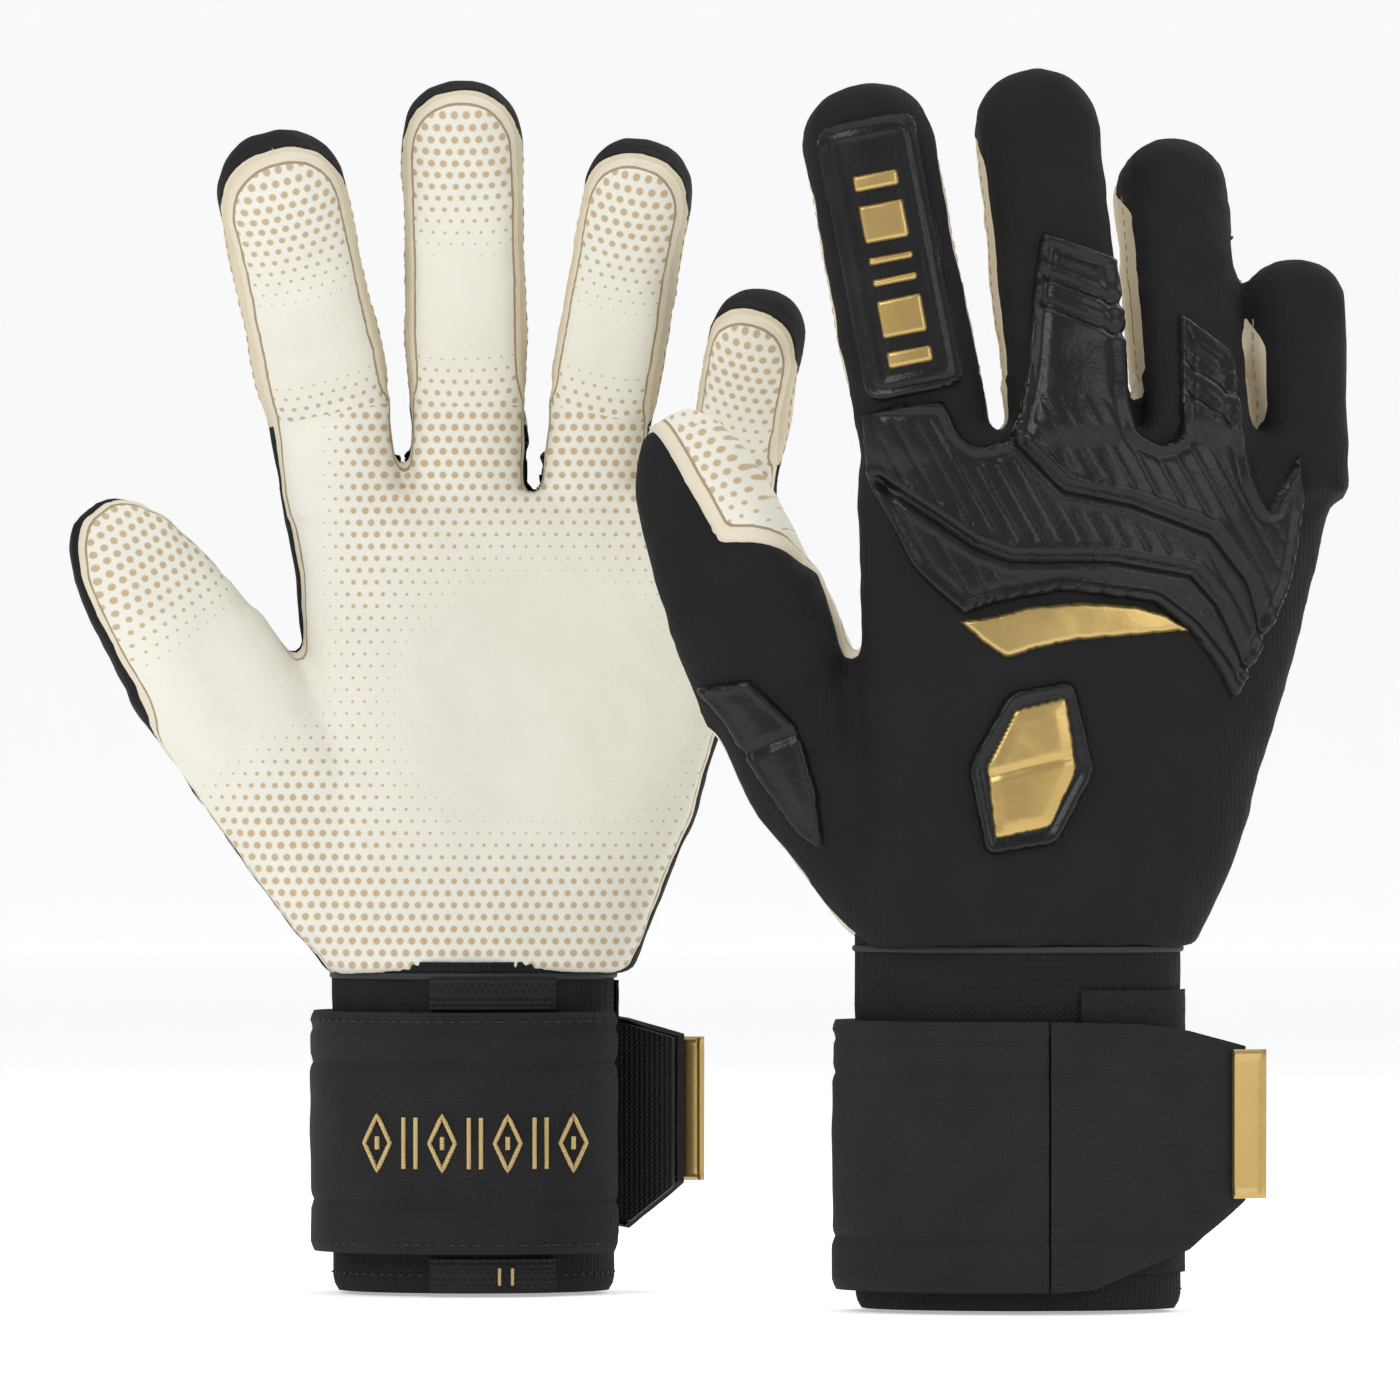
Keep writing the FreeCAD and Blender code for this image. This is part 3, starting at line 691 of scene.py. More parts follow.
def pick(faces):
    """The vertices that some faces use, and the faces numbered to match."""
    used = sorted({i for f in faces for i in f})
    index = {old: new for new, old in enumerate(used)}
    return used, [tuple(index[i] for i in f) for f in faces]


def skin_points(side):
    """The skin's vertices with their folds and drawn-in seams, and their distance to a seam."""
    verts, faces, names = CUTS[side]
    kinds_at = [set() for _ in verts]
    for face, name in zip(faces, names):
        for i in face:
            kinds_at[i].add("latex" if name.endswith("latex") else "other")
    seam = [i for i, kinds in enumerate(kinds_at) if len(kinds) == 2]
    tree = KDTree(len(seam))
    for k, i in enumerate(seam):
        tree.insert(verts[i], k)
    tree.balance()
    edge = [tree.find(p)[2] for p in verts]
    normals = [Vector() for _ in verts]
    for face in faces:
        a, b, c = (verts[i] for i in face)
        n = (b - a).cross(c - a)
        for i in face:
            normals[i] += n
    moved = []
    for p, d, n in zip(verts, edge, normals):
        n.normalize()
        fold = 0.55 * noise.noise(p / 13) + 0.3 * noise.noise(p / 5 + Vector((7, 3, 1)))
        moved.append(p + n * (fold - 0.9 * bump_at(d, 0, 1.1) - 0.35 * bump_at(d, 3.8, 0.8)))
    return moved, edge


POINTS = {side: skin_points(side) for side in SIDES}


def skin_piece(side, kind):
    verts, faces, names = CUTS[side]
    moved, edge = POINTS[side]
    used, faces = pick([f for f, n in zip(faces, names) if n == kind])
    owner_name = kind.split("_")[0] if kind.split("_")[0] in FINGERS + ("thumb",) else "hand"
    pattern, dots = [], []
    for i in used:
        p = verts[i]
        u, v, s = (p.x, p.y, p.z) if owner_name == "hand" else local(FRAMES[side][owner_name], p)
        pattern.append((v if kind.endswith("gusset") else u, s))
        dots.append(dot_size(side, owner_name, s, p))
    obj = mesh_object(f"{side}_{kind}_skin", [moved[i] for i in used], faces, side)
    store(obj, "edge", [edge[i] for i in used])
    store(obj, "dots", dots)
    store_pattern(obj, pattern)
    wall(obj, SKIN_WALL)
    last = kind.split("_")[-1]
    material = last if last in ("latex", "gusset") else "back_cloth"
    obj.data.materials.append(MATS[material])
    shade(obj)
    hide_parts(f"{side}_{kind}")
    hold(obj, side, owner_name)


def hold(obj, side, owner_name):
    """Hand pieces ride on the hand's body; finger and thumb pieces have their placement baked into the
    mesh.
    """
    if owner_name == "hand":
        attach(obj, side + "_hand")
        return
    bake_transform(obj)


for side in SIDES:
    for kind in sorted(set(CUTS[side][2])):
        skin_piece(side, kind)
    bpy.data.objects.remove(SKIN[side])
print("skin pieces made")


# %% [markdown]
# ## Cuff and wrist strap
# The cuff is an oval knitted sleeve. The strap goes round it and crosses over itself on the
# back; its free end tapers to a gold rubber pull tab.

# %% Outlines round the cuff
CUFF_WALL, STRAP_TOP, FLAP_START, FLAP_TANGENT, FLAP_REACH = 2.6, 66.0, 5.0, 22.0, 50.0
STRAP_OUT, STRAP_WALL = 5.45, 0.0019


def round_cuff(side, grow, t, z=0.0):
    """A point of the cuff's outline at height z; t is the angle from +x towards the back."""
    x, half_width, half_depth = CUFF[side][:3]
    return Vector((x + (half_width + grow) * math.cos(t), (half_depth + grow) * math.sin(t), z))


def arc_table(side, grow, start, stop, count):
    """Angles evenly spaced along the outline, with the distance along it in mm."""
    steps = 400
    points = [round_cuff(side, grow, start + (stop - start) * i / steps) for i in range(steps + 1)]
    run = [0.0]
    for a, b in zip(points, points[1:]):
        run.append(run[-1] + (b - a).length)
    table, k = [], 0
    for j in range(count + 1):
        want = run[-1] * j / count
        while k < steps - 1 and run[k + 1] < want:
            k += 1
        part = (want - run[k]) / max(1e-9, run[k + 1] - run[k])
        table.append((start + (stop - start) * (k + part) / steps, want))
    return table


def sheet_mesh(name, side, columns, rows, place, closed=False):
    """A grid of columns (along) and rows (heights); place(c, r) gives a point and its pattern."""
    verts, pattern, faces, index = [], [], [], {}
    for i, c in enumerate(columns):
        for j, r in enumerate(rows):
            p, q = place(c, r)
            index[i, j] = len(verts)
            verts.append(p)
            pattern.append(q)
    for i in range(len(columns) - (0 if closed else 1)):
        n = (i + 1) % len(columns)
        for j in range(len(rows) - 1):
            faces.append((index[i, j], index[n, j], index[n, j + 1], index[i, j + 1]))
    obj = mesh_object(name, verts, faces, side)
    store_pattern(obj, pattern)
    return obj


def dress(obj, material, node, body):
    obj.data.materials.append(MATS[material])
    shade(obj)
    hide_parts(node)
    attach(obj, body)


def steps(low, high, size):
    n = max(1, round((high - low) / size))
    return [low + (high - low) * i / n for i in range(n + 1)]


# %% Cuff sleeve with its knitted band
def cuff_sleeve(side):
    top = CUFF[side][3]
    table = arc_table(side, 0, 0, 2 * math.pi, 150)[:-1]

    def place(c, z):
        angle, run = c
        crease = 0.35 * noise.noise(Vector((run / 9, z / 12, 3.0)))
        rib = 0.25 * math.sin(run * 2 * math.pi / 2.6) * smoothstep(STRAP_TOP - 2, STRAP_TOP + 4, z)
        roll = -1.3 * bump_at(z, 0, 1.6)
        return round_cuff(side, -0.45 + crease + rib + roll, angle, z), (run, z)

    obj = sheet_mesh(side + "_cuff_knit", side, table, steps(0.2, top + 3, 1.6), place, closed=True)
    wall(obj, CUFF_WALL / 1000 * 0.8)
    dress(obj, "knit", side + "_cuff_sleeve", side + "_hand")


# %% Strap round the cuff
def strap_fold(side, run, z):
    """Lengthways folds and soft waves of the elastic."""
    low = CUFF[side][4]
    fold = sum(-0.7 * bump_at(z, h, 1.1) for h in (62.0, 54.0, low + 12.0))
    wave = 0.45 * noise.noise(Vector((run / 16, z / 9, 5.0 if side == "left" else 9.0)))
    edge = min(z - low, STRAP_TOP - z)
    return fold + wave - 0.9 * bump_at(edge, 0, 1.2)


def strap_wrap(side):
    x, half_width = CUFF[side][:2]
    low = CUFF[side][4]
    grow = STRAP_OUT - 0.5
    start = math.acos((FLAP_START - 0.5 - x) / (half_width + grow))
    stop = 2 * math.pi - math.asin(14.0 / (CUFF[side][2] + grow))
    table = arc_table(side, grow, start, stop, 190)

    def place(c, z):
        angle, run = c
        return round_cuff(side, grow + strap_fold(side, run, z), angle, z), (run, z)

    obj = sheet_mesh(side + "_strap_band", side, table, steps(low, STRAP_TOP, 1.1), place)
    wall(obj, STRAP_WALL)
    dress(obj, "strap_twill", side + "_strap_wrap", side + "_hand")


# %% Free end of the strap
def back_line(side, grow, x):
    """Point on the cuff's back at x, straight past the tangent, with its outward normal."""
    centre, half_width, half_depth = CUFF[side][:3]
    a, b = half_width + grow, half_depth + grow
    xx = min(x, FLAP_TANGENT)
    y = b * math.sqrt(1 - ((xx - centre) / a) ** 2)
    slope = -(b * b * (xx - centre)) / (a * a * y)
    across = Vector((1, slope, 0)).normalized()
    p = Vector((xx, y, 0))
    if x > FLAP_TANGENT:
        p += across * ((x - FLAP_TANGENT) / across.x)
    return p, Vector((-across.y, across.x, 0))


def flap_span(side, x, inset=0.0):
    """Lower and upper edge of the flap at x."""
    low = CUFF[side][4]
    lower = ((FLAP_START, low), (15.0, low + 0.6), (28.0, low + 6.0),
             (37.0, 14.0), (46.0, 21.5), (50.0, 25.0))
    upper = ((FLAP_START, STRAP_TOP), (26.0, 65.4), (37.0, 63.8), (50.0, 60.2))
    return at_level(lower, x, 1) + inset, at_level(upper, x, 1) - inset


def flap_sheet(name, side, x_low, x_high, grow, inset, thick, bulge=0.0):
    """A layer of the strap's free end from x_low to x_high; bulge 1 gives it folds."""
    rows = [i / 36 for i in range(37)]

    def place(x, t):
        low, high = flap_span(side, x, inset)
        z = low + (high - low) * t
        p, n = back_line(side, grow, x)
        edge = min(z - low, high - z, x_high - x + 0.2)
        lift = -0.8 * bump_at(edge, 0, 1.2)
        wave = 0.3 * noise.noise(Vector((x / 8, z / 8, 2.0)))
        fold = sum(-0.55 * bump_at(z, h, 1.1) for h in (62.0, 54.0, 17.0)) * smoothstep(48, 36, x)
        return p + n * (bulge * (lift + wave + fold)) + Vector((0, 0, z)), (x, z)

    obj = sheet_mesh(name, side, list(reversed(steps(x_low, x_high, 1.2))), rows, place)
    wall(obj, thick)
    return obj


def flap(side):
    body = side + "_strap_flap"
    cloth = flap_sheet(side + "_strap_flap_cloth", side, FLAP_START, FLAP_REACH,
                       STRAP_OUT, 0.0, 0.0020, 1.0)
    dress(cloth, "strap_twill", side + "_strap_flap", body)
    hooks = flap_sheet(side + "_hook_face", side, 26.0, FLAP_REACH - 2.6, 2.85, 1.6, 0.0011)
    dress(hooks, "hook", side + "_hook_patch", body)
    low, high, tip = 25.5, 59.5, 54.6

    def place(x, z):
        p, n = back_line(side, STRAP_OUT + 1.5, x)
        edge = min(z - low, high - z, tip - x)
        lift = 0.45 * bump_at(edge, 1.3, 0.5) - 0.5 * bump_at(edge, 0, 0.6)
        return p + n * lift + Vector((0, 0, z)), (x, z)

    columns = list(reversed(steps(47.0, tip, 0.45)))
    obj = sheet_mesh(side + "_pull_tab_rubber", side, columns, steps(low, high, 1.0), place)
    wall(obj, 0.0014)
    bevel = obj.modifiers.new("bevel", "BEVEL")
    bevel.width = 0.0003
    bevel.segments = 2
    bevel.limit_method = "ANGLE"
    apply_modifiers(obj)
    dress(obj, "gold_trim", side + "_pull_tab", body)


# %% Patch and pull loops on the cuff
def cuff_extras(side):
    half_width, low = CUFF[side][1], CUFF[side][4]

    def pile(c, z):
        angle, run = c
        fuzz = 0.12 * noise.noise(Vector((run * 1.3, z * 1.3, 1.0)))
        return round_cuff(side, 0.75 + fuzz, angle, z), (run, z)

    table = arc_table(side, 0.9, 0.0, math.acos(14.0 / (half_width + 0.7)), 30)
    obj = sheet_mesh(side + "_loop_pile", side, table, steps(low + 4, 73.0, 1.2), pile)
    wall(obj, 0.0006)
    dress(obj, "loop_pile", side + "_loop_patch", side + "_hand")
    webs = []
    first, last = (-math.acos(x / (half_width + 1)) for x in (-10.0, 20.0))
    table = arc_table(side, 1.0, first, last, 44)
    for z_low, z_high in ((66.5, 74.0), (0.3, 8.3)):
        def web(c, z):
            angle, run = c
            rib = 0.18 * math.sin((z - z_low) * 2 * math.pi / 1.25)
            ends = max(min(run, 30.0 - run), 0)
            return round_cuff(side, 1.15 + rib - 0.5 * bump_at(ends, 0, 1.0), angle, z), (run, z)

        obj = sheet_mesh(f"{side}_web_{len(webs)}", side, table, steps(z_low, z_high, 0.35), web)
        wall(obj, 0.0010)
        webs.append(obj)
    dress(join_objects(webs, side + "_webbing"), "webbing", side + "_pull_loops", side + "_hand")


for side in SIDES:
    cuff_sleeve(side)
    strap_wrap(side)
    flap(side)
    cuff_extras(side)
print("cuffs and straps made")


# %% [markdown]
# ## Moulded pads and badges on the back
# Each pad is a fine grid cut to its outline, laid on the skin of the back and raised by its own
# relief: a ridge round the edge, grooves and fine flutes.

# %% Laying a patch on the skin
SKINS = {side: BVHTree.FromPolygons(POINTS[side][0], CUTS[side][1]) for side in SIDES}
MIDDLE_X = ROOTS["right"]["middle"][0]


def segment_gap(x, y, a, b):
    dx, dy = b[0] - a[0], b[1] - a[1]
    t = max(0.0, min(1.0, ((x - a[0]) * dx + (y - a[1]) * dy) / (dx * dx + dy * dy)))
    return math.hypot(x - a[0] - t * dx, y - a[1] - t * dy)


def line_gap(x, y, points):
    return min(segment_gap(x, y, a, b) for a, b in zip(points, points[1:]))


def depths_in(xy, outline):
    """Distance of many points to the outline, positive inside."""
    xy = np.asarray(xy, float)
    best = np.full(len(xy), 1e9)
    inside = np.zeros(len(xy), bool)
    for (x1, y1), (x2, y2) in zip(outline, outline[1:] + outline[:1]):
        dx, dy = x2 - x1, y2 - y1
        t = np.clip(((xy[:, 0] - x1) * dx + (xy[:, 1] - y1) * dy) / max(1e-12, dx * dx + dy * dy), 0, 1)
        best = np.minimum(best, np.hypot(xy[:, 0] - x1 - t * dx, xy[:, 1] - y1 - t * dy))
        if dy:
            crossing = ((y1 > xy[:, 1]) != (y2 > xy[:, 1])) & (xy[:, 0] < dx * (xy[:, 1] - y1) / dy + x1)
            inside ^= crossing
    return np.where(inside, best, -best)


def rounded(points, radius=2.0):
    """Rounds the corners of a closed outline."""
    out = []
    n = len(points)
    for i, (x, y) in enumerate(points):
        ends = []
        for qx, qy in (points[i - 1], points[(i + 1) % n]):
            length = math.hypot(qx - x, qy - y)
            t = min(radius, 0.42 * length) / length
            ends.append((x + (qx - x) * t, y + (qy - y) * t))
        for t in (0.0, 0.25, 0.5, 0.75, 1.0):
            (ax, ay), (bx, by) = ends
            out.append((ax * (1 - t) ** 2 + 2 * x * t * (1 - t) + bx * t * t,
                        ay * (1 - t) ** 2 + 2 * y * t * (1 - t) + by * t * t))
    return out


def back_ray(side):
    """Patterns are drawn on the right glove's back; the left glove takes them moved and narrower."""
    shift = ROOTS[side]["middle"][0] - MIDDLE_X
    stretch = 1.0 if side == "right" else 0.93

    def ray(a, b):
        return Vector((MIDDLE_X + (a - MIDDLE_X) * stretch + shift, 90, b)), Vector((0, -1, 0))
    return ray


def thumb_ray(side):
    """As on the back, but moved with the thumb's root."""
    dx, dz = (THUMB[side][i] - THUMB["right"][i] for i in (0, 2))
    return lambda a, b: (Vector((a + dx, 90, b + dz)), Vector((0, -1, 0)))


def finger_ray(side, name):
    f = FRAMES[side][name]
    return lambda a, b: (f["root"] + f["across"] * a + f["along"] * b + f["back"] * 50, -f["back"])


def lay_patch(side, outline, ray, relief, grid=0.8, splits=()):
    """A patch laid on the skin, as {owner: (verts, faces)}, split at the roots of some fingers."""
    xs, ys = [p[0] for p in outline], [p[1] for p in outline]
    nx = int((max(xs) - min(xs)) / grid) + 3
    ny = int((max(ys) - min(ys)) / grid) + 3
    bm = bmesh.new()
    flat = [[bm.verts.new((min(xs) - grid + i * grid, min(ys) - grid + j * grid, 0)) for j in range(ny)]
            for i in range(nx)]
    for i in range(nx - 1):
        for j in range(ny - 1):
            bm.faces.new((flat[i][j], flat[i + 1][j], flat[i + 1][j + 1], flat[i][j + 1]))
    bmesh.ops.triangulate(bm, faces=bm.faces[:])
    cut(bm, None, depths_in([v.co.xy for v in bm.verts], outline))
    faces = bm.faces[:]
    middles = depths_in([f.calc_center_median().xy for f in faces], outline)
    outside = [f for f, d in zip(faces, middles) if d < 0]
    bmesh.ops.delete(bm, geom=outside, context="FACES")
    bm.verts.ensure_lookup_table()
    bm.verts.index_update()
    places = [(v.co.x, v.co.y) for v in bm.verts]
    hits, normals, missed = [], [], set()
    for i, (a, b) in enumerate(places):
        origin, direction = ray(a, b)
        hit, normal, _, _ = SKINS[side].ray_cast(origin, direction)
        if hit is None or normal.dot(direction) > -0.05:
            missed.add(i)
            hit, normal = origin.copy(), -direction
        hits.append(hit.copy())
        normals.append(normal.copy())
    near = [[e.other_vert(v).index for e in v.link_edges] for v in bm.verts]
    for _ in range(14):
        normals = [sum((normals[k] for k in around), n).normalized() for n, around in zip(normals, near)]
        hits = [p * 0.5 + sum((hits[k] for k in around), Vector()) * (0.5 / len(around))
                if len(around) > 4 and not missed.intersection(around) else p
                for p, around in zip(hits, near)]
    depths = [float(d) for d in np.maximum(depths_in(places, outline), 0.0)]
    for v, p, n, (a, b), d in zip(bm.verts, hits, normals, places, depths):
        v.co = p + n * relief(a, b, d)
    gone = [v for v in bm.verts if v.index in missed]
    bmesh.ops.delete(bm, geom=gone, context="VERTS")
    for name in splits:
        cut(bm, root_field(side, name))
    bm.verts.index_update()
    groups = {}
    for f in bm.faces:
        who = finger_or_hand(side, f.calc_center_median()) if splits else "hand"
        groups.setdefault(who, []).append(tuple(v.index for v in f.verts))
    coords = [v.co.copy() for v in bm.verts]
    bm.free()
    picked = {who: pick(faces) for who, faces in groups.items()}
    return {who: ([coords[i] for i in used], faces) for who, (used, faces) in picked.items()}


def facing_out(side, verts, faces, direction):
    a, b, c = (verts[i] for i in faces[len(faces) // 2])
    return faces if (b - a).cross(c - a).dot(direction) < 0 else [tuple(reversed(f)) for f in faces]


def patch_piece(name, side, part, direction, material, node, owner_name, thick=1.6, keep=True):
    verts, faces = part
    obj = mesh_object(name, verts, facing_out(side, verts, faces, direction), side)
    store_pattern(obj, [(p.x, p.z) for p in verts])
    wall(obj, thick / 1000)
    obj.data.materials.append(MATS[material])
    shade(obj, 70)
    if keep:
        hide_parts(node)
    hold(obj, side, owner_name)


# %% Relief of the knuckle pad
PAD = [(-15, 158), (-26, 168), (-36, 188), (-38, 207), (-19, 207), (-16, 200), (-12, 196.5), (-5, 198),
       (-2, 203), (-0.5, 212), (1, 232), (3, 246), (20, 240), (21.5, 225), (22.5, 207), (24.5, 200),
       (30, 197), (34, 199), (34.5, 208), (34.5, 228), (47, 218), (48.5, 205), (51, 190), (55, 182),
       (62.5, 196),
       (63.5, 185), (60, 165), (53, 150), (47, 138), (43, 146), (36, 155), (28, 161), (8, 163.5), (-6, 161)]
GROOVES = ([(-2, 197), (8, 187), (23, 184), (41.6, 177), (50, 166), (54, 152)],
           [(-34, 189), (-12, 174), (-4, 171), (19, 171), (37, 168), (43, 161), (50, 146)])
SHORT = ([(3, 236), (20, 229)], [(4, 229), (21, 222)], [(35, 217), (47.5, 208)], [(35.5, 210), (48.5, 201)])


def pad_relief(a, b, d):
    h = 2.0 * min(1.0, d / 1.0) ** 0.5 - 0.3
    h += 0.75 * bump_at(d, 1.5, 0.75) - 0.55 * bump_at(d, 3.3, 0.8)
    g1, g2 = (line_gap(a, b, g) for g in GROOVES)
    for g in (g1, g2):  # a groove with a raised lip
        h += -1.25 * bump_at(g, 0, 1.0) + 0.45 * bump_at(g, 2.3, 0.9)
    if b > 200:
        for line in SHORT:
            g = line_gap(a, b, line)
            h += -0.9 * bump_at(g, 0, 0.9) + 0.3 * bump_at(g, 2.0, 0.8)
    if d > 4 and min(g1, g2) > 3 and b < 208:
        flute = (a + 0.55 * b) / 4.6
        h -= 0.45 * bump_at((flute % 1.0) - 0.5, 0, 0.10)
    return h + 0.05 * noise.noise(Vector((a / 1.6, b / 1.6, 0)))


def plate_relief(high):
    """A flat plate with a round edge."""
    def relief(a, b, d):
        return high * min(1.0, d / 0.9) ** 0.5 - 0.25
    return relief


BLADE = [(-16, 157), (-8, 158.0), (0, 160.2), (12, 161.3), (24, 160.5), (31, 158.5), (37, 154.8),
         (24, 153.6), (10, 152.4), (2, 150.6), (-5, 148.4), (-10, 151.6)]
EMBLEM = [(-8, 107), (-10, 124), (-3.5, 137), (8.5, 140), (11, 123), (5, 110)]
THUMB_PAD = [(-76, 142), (-70, 143), (-63, 144), (-52, 133), (-47.5, 118), (-46, 104), (-52, 108),
             (-60, 119), (-69, 134)]


def grow_outline(points, by):
    cx = sum(p[0] for p in points) / len(points)
    cy = sum(p[1] for p in points) / len(points)
    out = []
    for x, y in points:
        r = math.hypot(x - cx, y - cy)
        out.append((cx + (x - cx) * (r + by) / r, cy + (y - cy) * (r + by) / r))
    return out


def emblem_relief(a, b, d):
    groove = abs((a - 0.5) * 0.25 - (b - 124))
    return 0.3 + 1.2 * min(1.0, d / 0.8) ** 0.5 + 0.5 * min(1.0, d / 3.2) - 0.6 * bump_at(groove, 0, 0.9)


def frame_relief(a, b, d):
    return 1.9 * min(1.0, d / 0.9) ** 0.5 - 0.3 + 0.5 * bump_at(d, 1.3, 0.8) - 0.7 * smoothstep(2.2, 3.2, d)


def thumb_relief(a, b, d):
    crease = segment_gap(a, b, (-66, 126), (-50, 132.5))
    return (2.0 * min(1.0, d / 1.0) ** 0.5 - 0.3 + 0.5 * bump_at(d, 1.4, 0.7)
            - 1.1 * bump_at(crease, 0, 1.1) + 0.5 * smoothstep(2, 7, d))


def index_relief(a, b, d):
    return (1.9 * min(1.0, d / 0.9) ** 0.5 - 0.3 + 0.6 * bump_at(d, 1.2, 0.6)
            - 0.5 * bump_at(d, 2.6, 0.6) + 0.3 * bump_at(d, 3.6, 0.5) - 0.5 * smoothstep(4.0, 5.0, d))


# %% Pads of both gloves
PAD_OWNERS = {"hand": "knuckle_pad", "middle": "middle_pad_tab", "ring": "ring_pad_tab"}
INDEX_BARS = (7.0, 12.0, 5.0, 5.0, 12.0, 7.0)
RUBBER, GOLD = "moulded_rubber", "gold_trim"


def sew_pads(side):
    who, ray, away = "hand", back_ray(side), Vector((0, -1, 0))
    parts = lay_patch(side, rounded(PAD, 1.6), ray, pad_relief, 0.7,
                      splits=("middle", "ring", "index", "little"))
    for root, part in parts.items():
        if root in PAD_OWNERS:
            node = f"{side}_{PAD_OWNERS[root]}"
            patch_piece(node + "_rubber", side, part, away, RUBBER, node, root)

    def sew(label, outline, relief, grid, material, node, thick, keep=True):
        part = lay_patch(side, outline, ray, relief, grid)["hand"]
        patch_piece(f"{side}_{label}", side, part, away, material, f"{side}_{node}", who, thick, keep)

    sew("blade", rounded(BLADE, 0.8), plate_relief(1.7), 0.5, GOLD, "gold_blade", 1.0)
    sew("emblem_frame", rounded(grow_outline(EMBLEM, 4.2), 3.0), frame_relief, 0.55, RUBBER, "emblem", 1.2)
    sew("emblem_gold", rounded(EMBLEM, 1.5), emblem_relief, 0.5, GOLD, "emblem", 0.8, keep=False)
    ray = thumb_ray(side)
    sew("thumb_guard", rounded(THUMB_PAD, 2.0), thumb_relief, 0.8, RUBBER, "thumb_pad", 1.4)
    who, ray, away = "index", finger_ray(side, "index"), -FRAMES[side]["index"]["back"]
    strip = [(-11.5, 1.5), (11.5, 1.5), (11.5, 66), (-11.5, 66)]
    sew("index_rubber", rounded(strip, 5.0), index_relief, 0.8, RUBBER, "index_strip", 1.2)
    low = 8.0
    for k, length in enumerate(INDEX_BARS):
        bar = [(-5.4, low), (5.4, low), (5.4, low + length - 2.4), (-5.4, low + length - 2.4)]
        sew(f"index_bar_{k}", rounded(bar, 1.2), plate_relief(2.3), 0.5, GOLD, "index_strip", 0.8,
            keep=False)
        low += length


for side in SIDES:
    sew_pads(side)
print("pads made")


# %% [markdown]
# ## Stitches, cords and embroidery
# Small threads that hold the parts: stitches along the strap's edges, the cuff's rim and the
# fingers' gussets, a cord in the hand's lower seam, and a row of embroidered figures.

# %% Threads
def thread_mesh(points, radius, closed=False):
    """A round thread through points, in the glove's own frame."""
    verts, faces = [], []
    n = len(points)
    for i, p in enumerate(points):
        a = points[i - 1] if i or closed else points[0]
        b = points[(i + 1) % n] if i < n - 1 or closed else points[-1]
        t = (b - a).normalized()
        u = t.cross(Vector((0.31, 0.9, 0.3))).normalized()
        w = t.cross(u)
        for k in range(6):
            angle = math.pi / 3 * k
            verts.append(p + (u * math.cos(angle) + w * math.sin(angle)) * radius)
    for i in range(n if closed else n - 1):
        m = (i + 1) % n
        for k in range(6):
            k2 = (k + 1) % 6
            faces.append((i * 6 + k, i * 6 + k2, m * 6 + k2, m * 6 + k))
    if not closed:
        faces.append(tuple(range(5, -1, -1)))
        faces.append(tuple((n - 1) * 6 + k for k in range(6)))
    return verts, faces


def sew_threads(name, side, parts, material, owner_name):
    """One piece from many threads."""
    verts, faces = [], []
    for v, f in parts:
        base = len(verts)
        verts += v
        faces += [tuple(i + base for i in face) for face in f]
    obj = mesh_object(name, verts, faces, side)
    store_pattern(obj, [(p.x, p.z) for p in verts])
    activate(obj)
    bpy.ops.object.mode_set(mode="EDIT")
    bpy.ops.mesh.select_all(action="SELECT")
    bpy.ops.mesh.normals_make_consistent(inside=False)
    bpy.ops.object.mode_set(mode="OBJECT")
    obj.data.materials.append(MATS[material])
    shade(obj, 60)
    hold(obj, side, owner_name)


def stitch_row(path, length, gap, radius):
    """Separate stitches along a path of points."""
    dense = []
    for a, b in zip(path, path[1:]):
        count = max(1, int((b - a).length / 0.4))
        dense += [a.lerp(b, i / count) for i in range(count)]
    parts, current, run = [], [], 0.0
    for a, b in zip(dense, dense[1:]):
        if run % (length + gap) < length:
            current.append(a)
        else:
            if len(current) > 2:
                parts.append(thread_mesh(current, radius))
            current = []
        run += (b - a).length
    return parts


def on_strap(side, x, z, out=0.25):
    """A point on the palm side of the strap."""
    middle, half_width = CUFF[side][:2]
    grow = STRAP_OUT - 0.5
    angle = -math.acos(max(-1, min(1, (x - middle) / (half_width + grow))))
    return round_cuff(side, grow + out, angle, z)


def embroidery(side):
    """A row of diamonds and pairs of bars on the palm side of the strap, and two bars on the pull."""
    parts, row_z = [], 35.5
    for k in range(7):
        x = -22.0 + 7.6 * k
        if k % 2:
            for bar_x in (x - 1.4, x + 1.4):
                bar = [on_strap(side, bar_x, z) for z in steps(row_z - 6, row_z + 6, 1.0)]
                parts.append(thread_mesh(bar, 0.55))
            continue
        corners = [(x, row_z - 6.5), (x + 3, row_z), (x, row_z + 6.5), (x - 3, row_z), (x, row_z - 6.5)]
        line = []
        for (x1, z1), (x2, z2) in zip(corners, corners[1:]):
            line += [on_strap(side, x1 + (x2 - x1) * t / 6, z1 + (z2 - z1) * t / 6) for t in range(6)]
        parts.append(thread_mesh(line, 0.55, closed=True))
        parts.append(thread_mesh([on_strap(side, x, row_z + dz) for dz in (-1.5, 0, 1.5)], 0.6))
    middle, half_width = CUFF[side][:2]
    for x in (6.5, 9.5):
        angle = -math.acos((x - middle) / (half_width + 1.6))
        parts.append(thread_mesh([round_cuff(side, 1.7, angle, z) for z in (2.2, 4.2, 6.2)], 0.4))
    sew_threads(side + "_embroidery", side, parts, "embroidery", "hand")


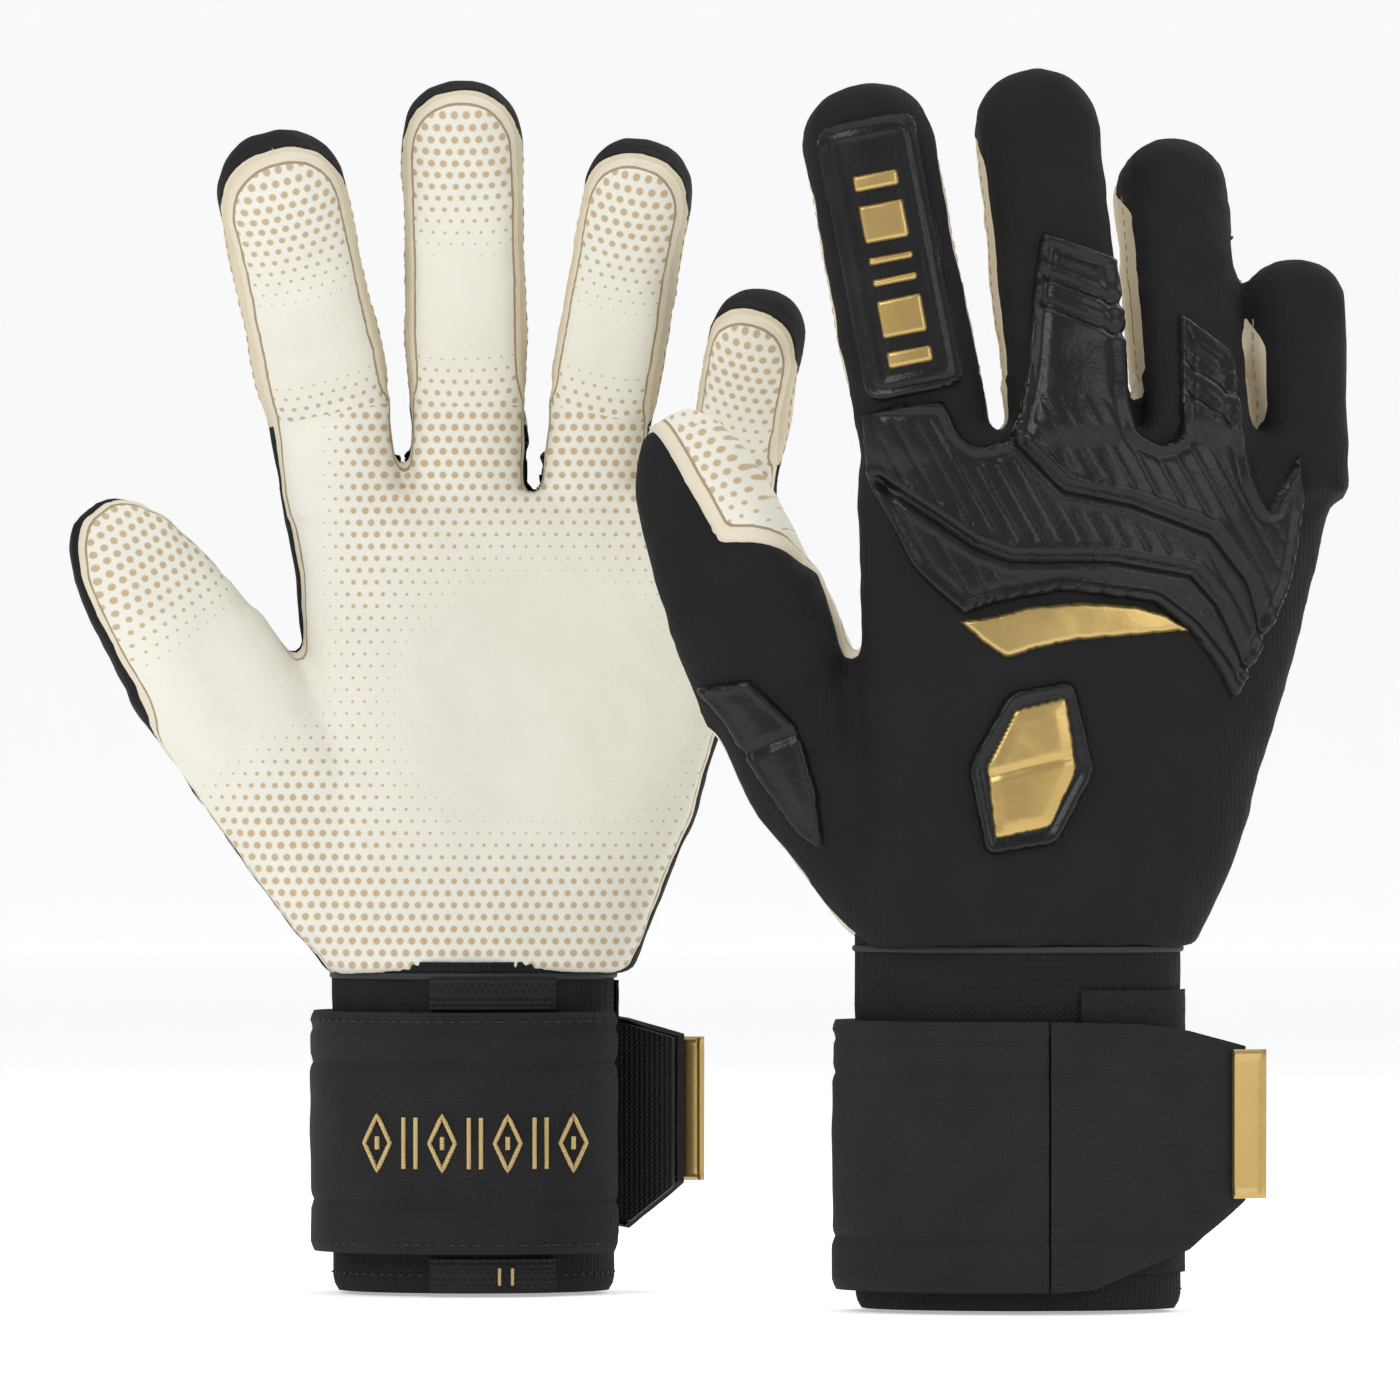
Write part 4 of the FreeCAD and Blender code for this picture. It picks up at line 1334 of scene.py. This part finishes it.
def strap_stitches(side):
    """Stitches along the strap's edges and the cuff's rim, and the cord between hand and cuff."""
    middle, half_width, _, top, low = CUFF[side]
    parts = []
    for z in (STRAP_TOP - 2.2, low + 2.2):
        xs = steps(middle - half_width - 3, middle + half_width * 0.94, 1.0)
        parts += stitch_row([on_strap(side, x, z, 0.05) for x in xs], 1.8, 1.0, 0.22)
    rim = [round_cuff(side, -0.25, -math.pi * i / 60, 4.5) for i in range(61)]
    parts += stitch_row(rim, 1.4, 1.1, 0.25)
    seam = [round_cuff(side, -0.3, 2 * math.pi * i / 120, top - 0.4) for i in range(120)]
    parts.append(thread_mesh(seam, 0.8, closed=True))
    sew_threads(side + "_stitches", side, parts, "black_thread", "hand")


def finger_stitches(side, name):
    """A stitched line down each side of a finger, in the middle of its gusset."""
    f = FRAMES[side][name]
    parts = []
    for outward in (-f["across"], f["across"]):
        path = []
        for s in steps(5, LENGTH[name] - WIDTH[name] * 0.55, 1.2):
            origin = f["root"] + f["along"] * s + outward * (WIDTH[name] / 2 + 1.1)
            hit = SKINS[side].ray_cast(origin, -outward)[0]
            if hit is not None and (hit - f["root"]).dot(f["straight"]) > 2:
                path.append(hit)
        if len(path) > 4:
            parts += stitch_row(path, 2.0, 1.2, 0.2)
    sew_threads(f"{side}_{name}_stitches", side, parts, "seam_thread", name)


for side in SIDES:
    embroidery(side)
    strap_stitches(side)
    for name in FINGERS:
        finger_stitches(side, name)
print("threads made")


# %% [markdown]
# ## The picture
# A pale sweep, soft studio light and one long lens at the height of the gloves.

# %% Floor, light and camera
bm = bmesh.new()
profile = [(-6.0, 0.0), (4.6, 0.0)]
for k in range(1, 13):
    a = math.pi / 2 * k / 12
    profile.append((4.6 + 1.4 * math.sin(a), 1.4 - 1.4 * math.cos(a)))
profile.append((6.0, 5.0))
rows = [[bm.verts.new((x, y, z - 0.0006)) for y, z in profile] for x in (-6.0, 6.0)]
for i in range(len(profile) - 1):
    bm.faces.new((rows[0][i], rows[1][i], rows[1][i + 1], rows[0][i + 1]))
floor = new_object("floor", bm)
paper = finish("paper", (0.93, 0.93, 0.92), rough=0.9)
paper_shader = paper.node_tree.nodes["Principled BSDF"]
paper_shader.inputs["Emission Color"].default_value = (1, 1, 1, 1)
paper_shader.inputs["Emission Strength"].default_value = 0.42
floor.data.materials.append(paper)
activate(floor)
bpy.ops.object.shade_smooth()


def area_light(name, place, aim, size, power, colour=(1, 1, 1)):
    data = bpy.data.lights.new(name, "AREA")
    data.shape = "RECTANGLE"
    data.size, data.size_y = size
    data.energy = power
    data.color = colour
    lamp = bpy.data.objects.new(name, data)
    lamp.location = place
    lamp.rotation_euler = (Vector(aim) - Vector(place)).to_track_quat("-Z", "Y").to_euler()
    bpy.context.scene.collection.objects.link(lamp)


area_light("key", (-0.9, -1.2, 1.3), (0, 0, 0.13), (0.9, 0.9), 14, (1.0, 0.985, 0.96))
area_light("fill", (1.2, -1.1, 0.8), (0, 0, 0.14), (1.0, 1.0), 7, (0.97, 0.985, 1.0))
area_light("top", (0.0, 0.2, 1.5), (0, 0, 0.1), (1.2, 0.8), 6.5)
area_light("rim", (0.9, 0.75, 0.9), (0, 0, 0.16), (0.5, 0.9), 5)
world = bpy.data.worlds.new("studio")
world.use_nodes = True
sky = world.node_tree.nodes["Background"]
sky.inputs[0].default_value = (0.95, 0.96, 1.0, 1)
sky.inputs[1].default_value = 0.42
bpy.context.scene.world = world
bpy.context.scene.view_settings.view_transform = "Standard"

camera_data = bpy.data.cameras.new("camera")
camera_data.lens = 360
camera_data.sensor_width = 36
camera = bpy.data.objects.new("camera", camera_data)
camera.location = (0.0, -3.25, 0.139)
camera.rotation_euler = (math.radians(90), 0, 0)
bpy.context.scene.collection.objects.link(camera)
bpy.context.scene.camera = camera
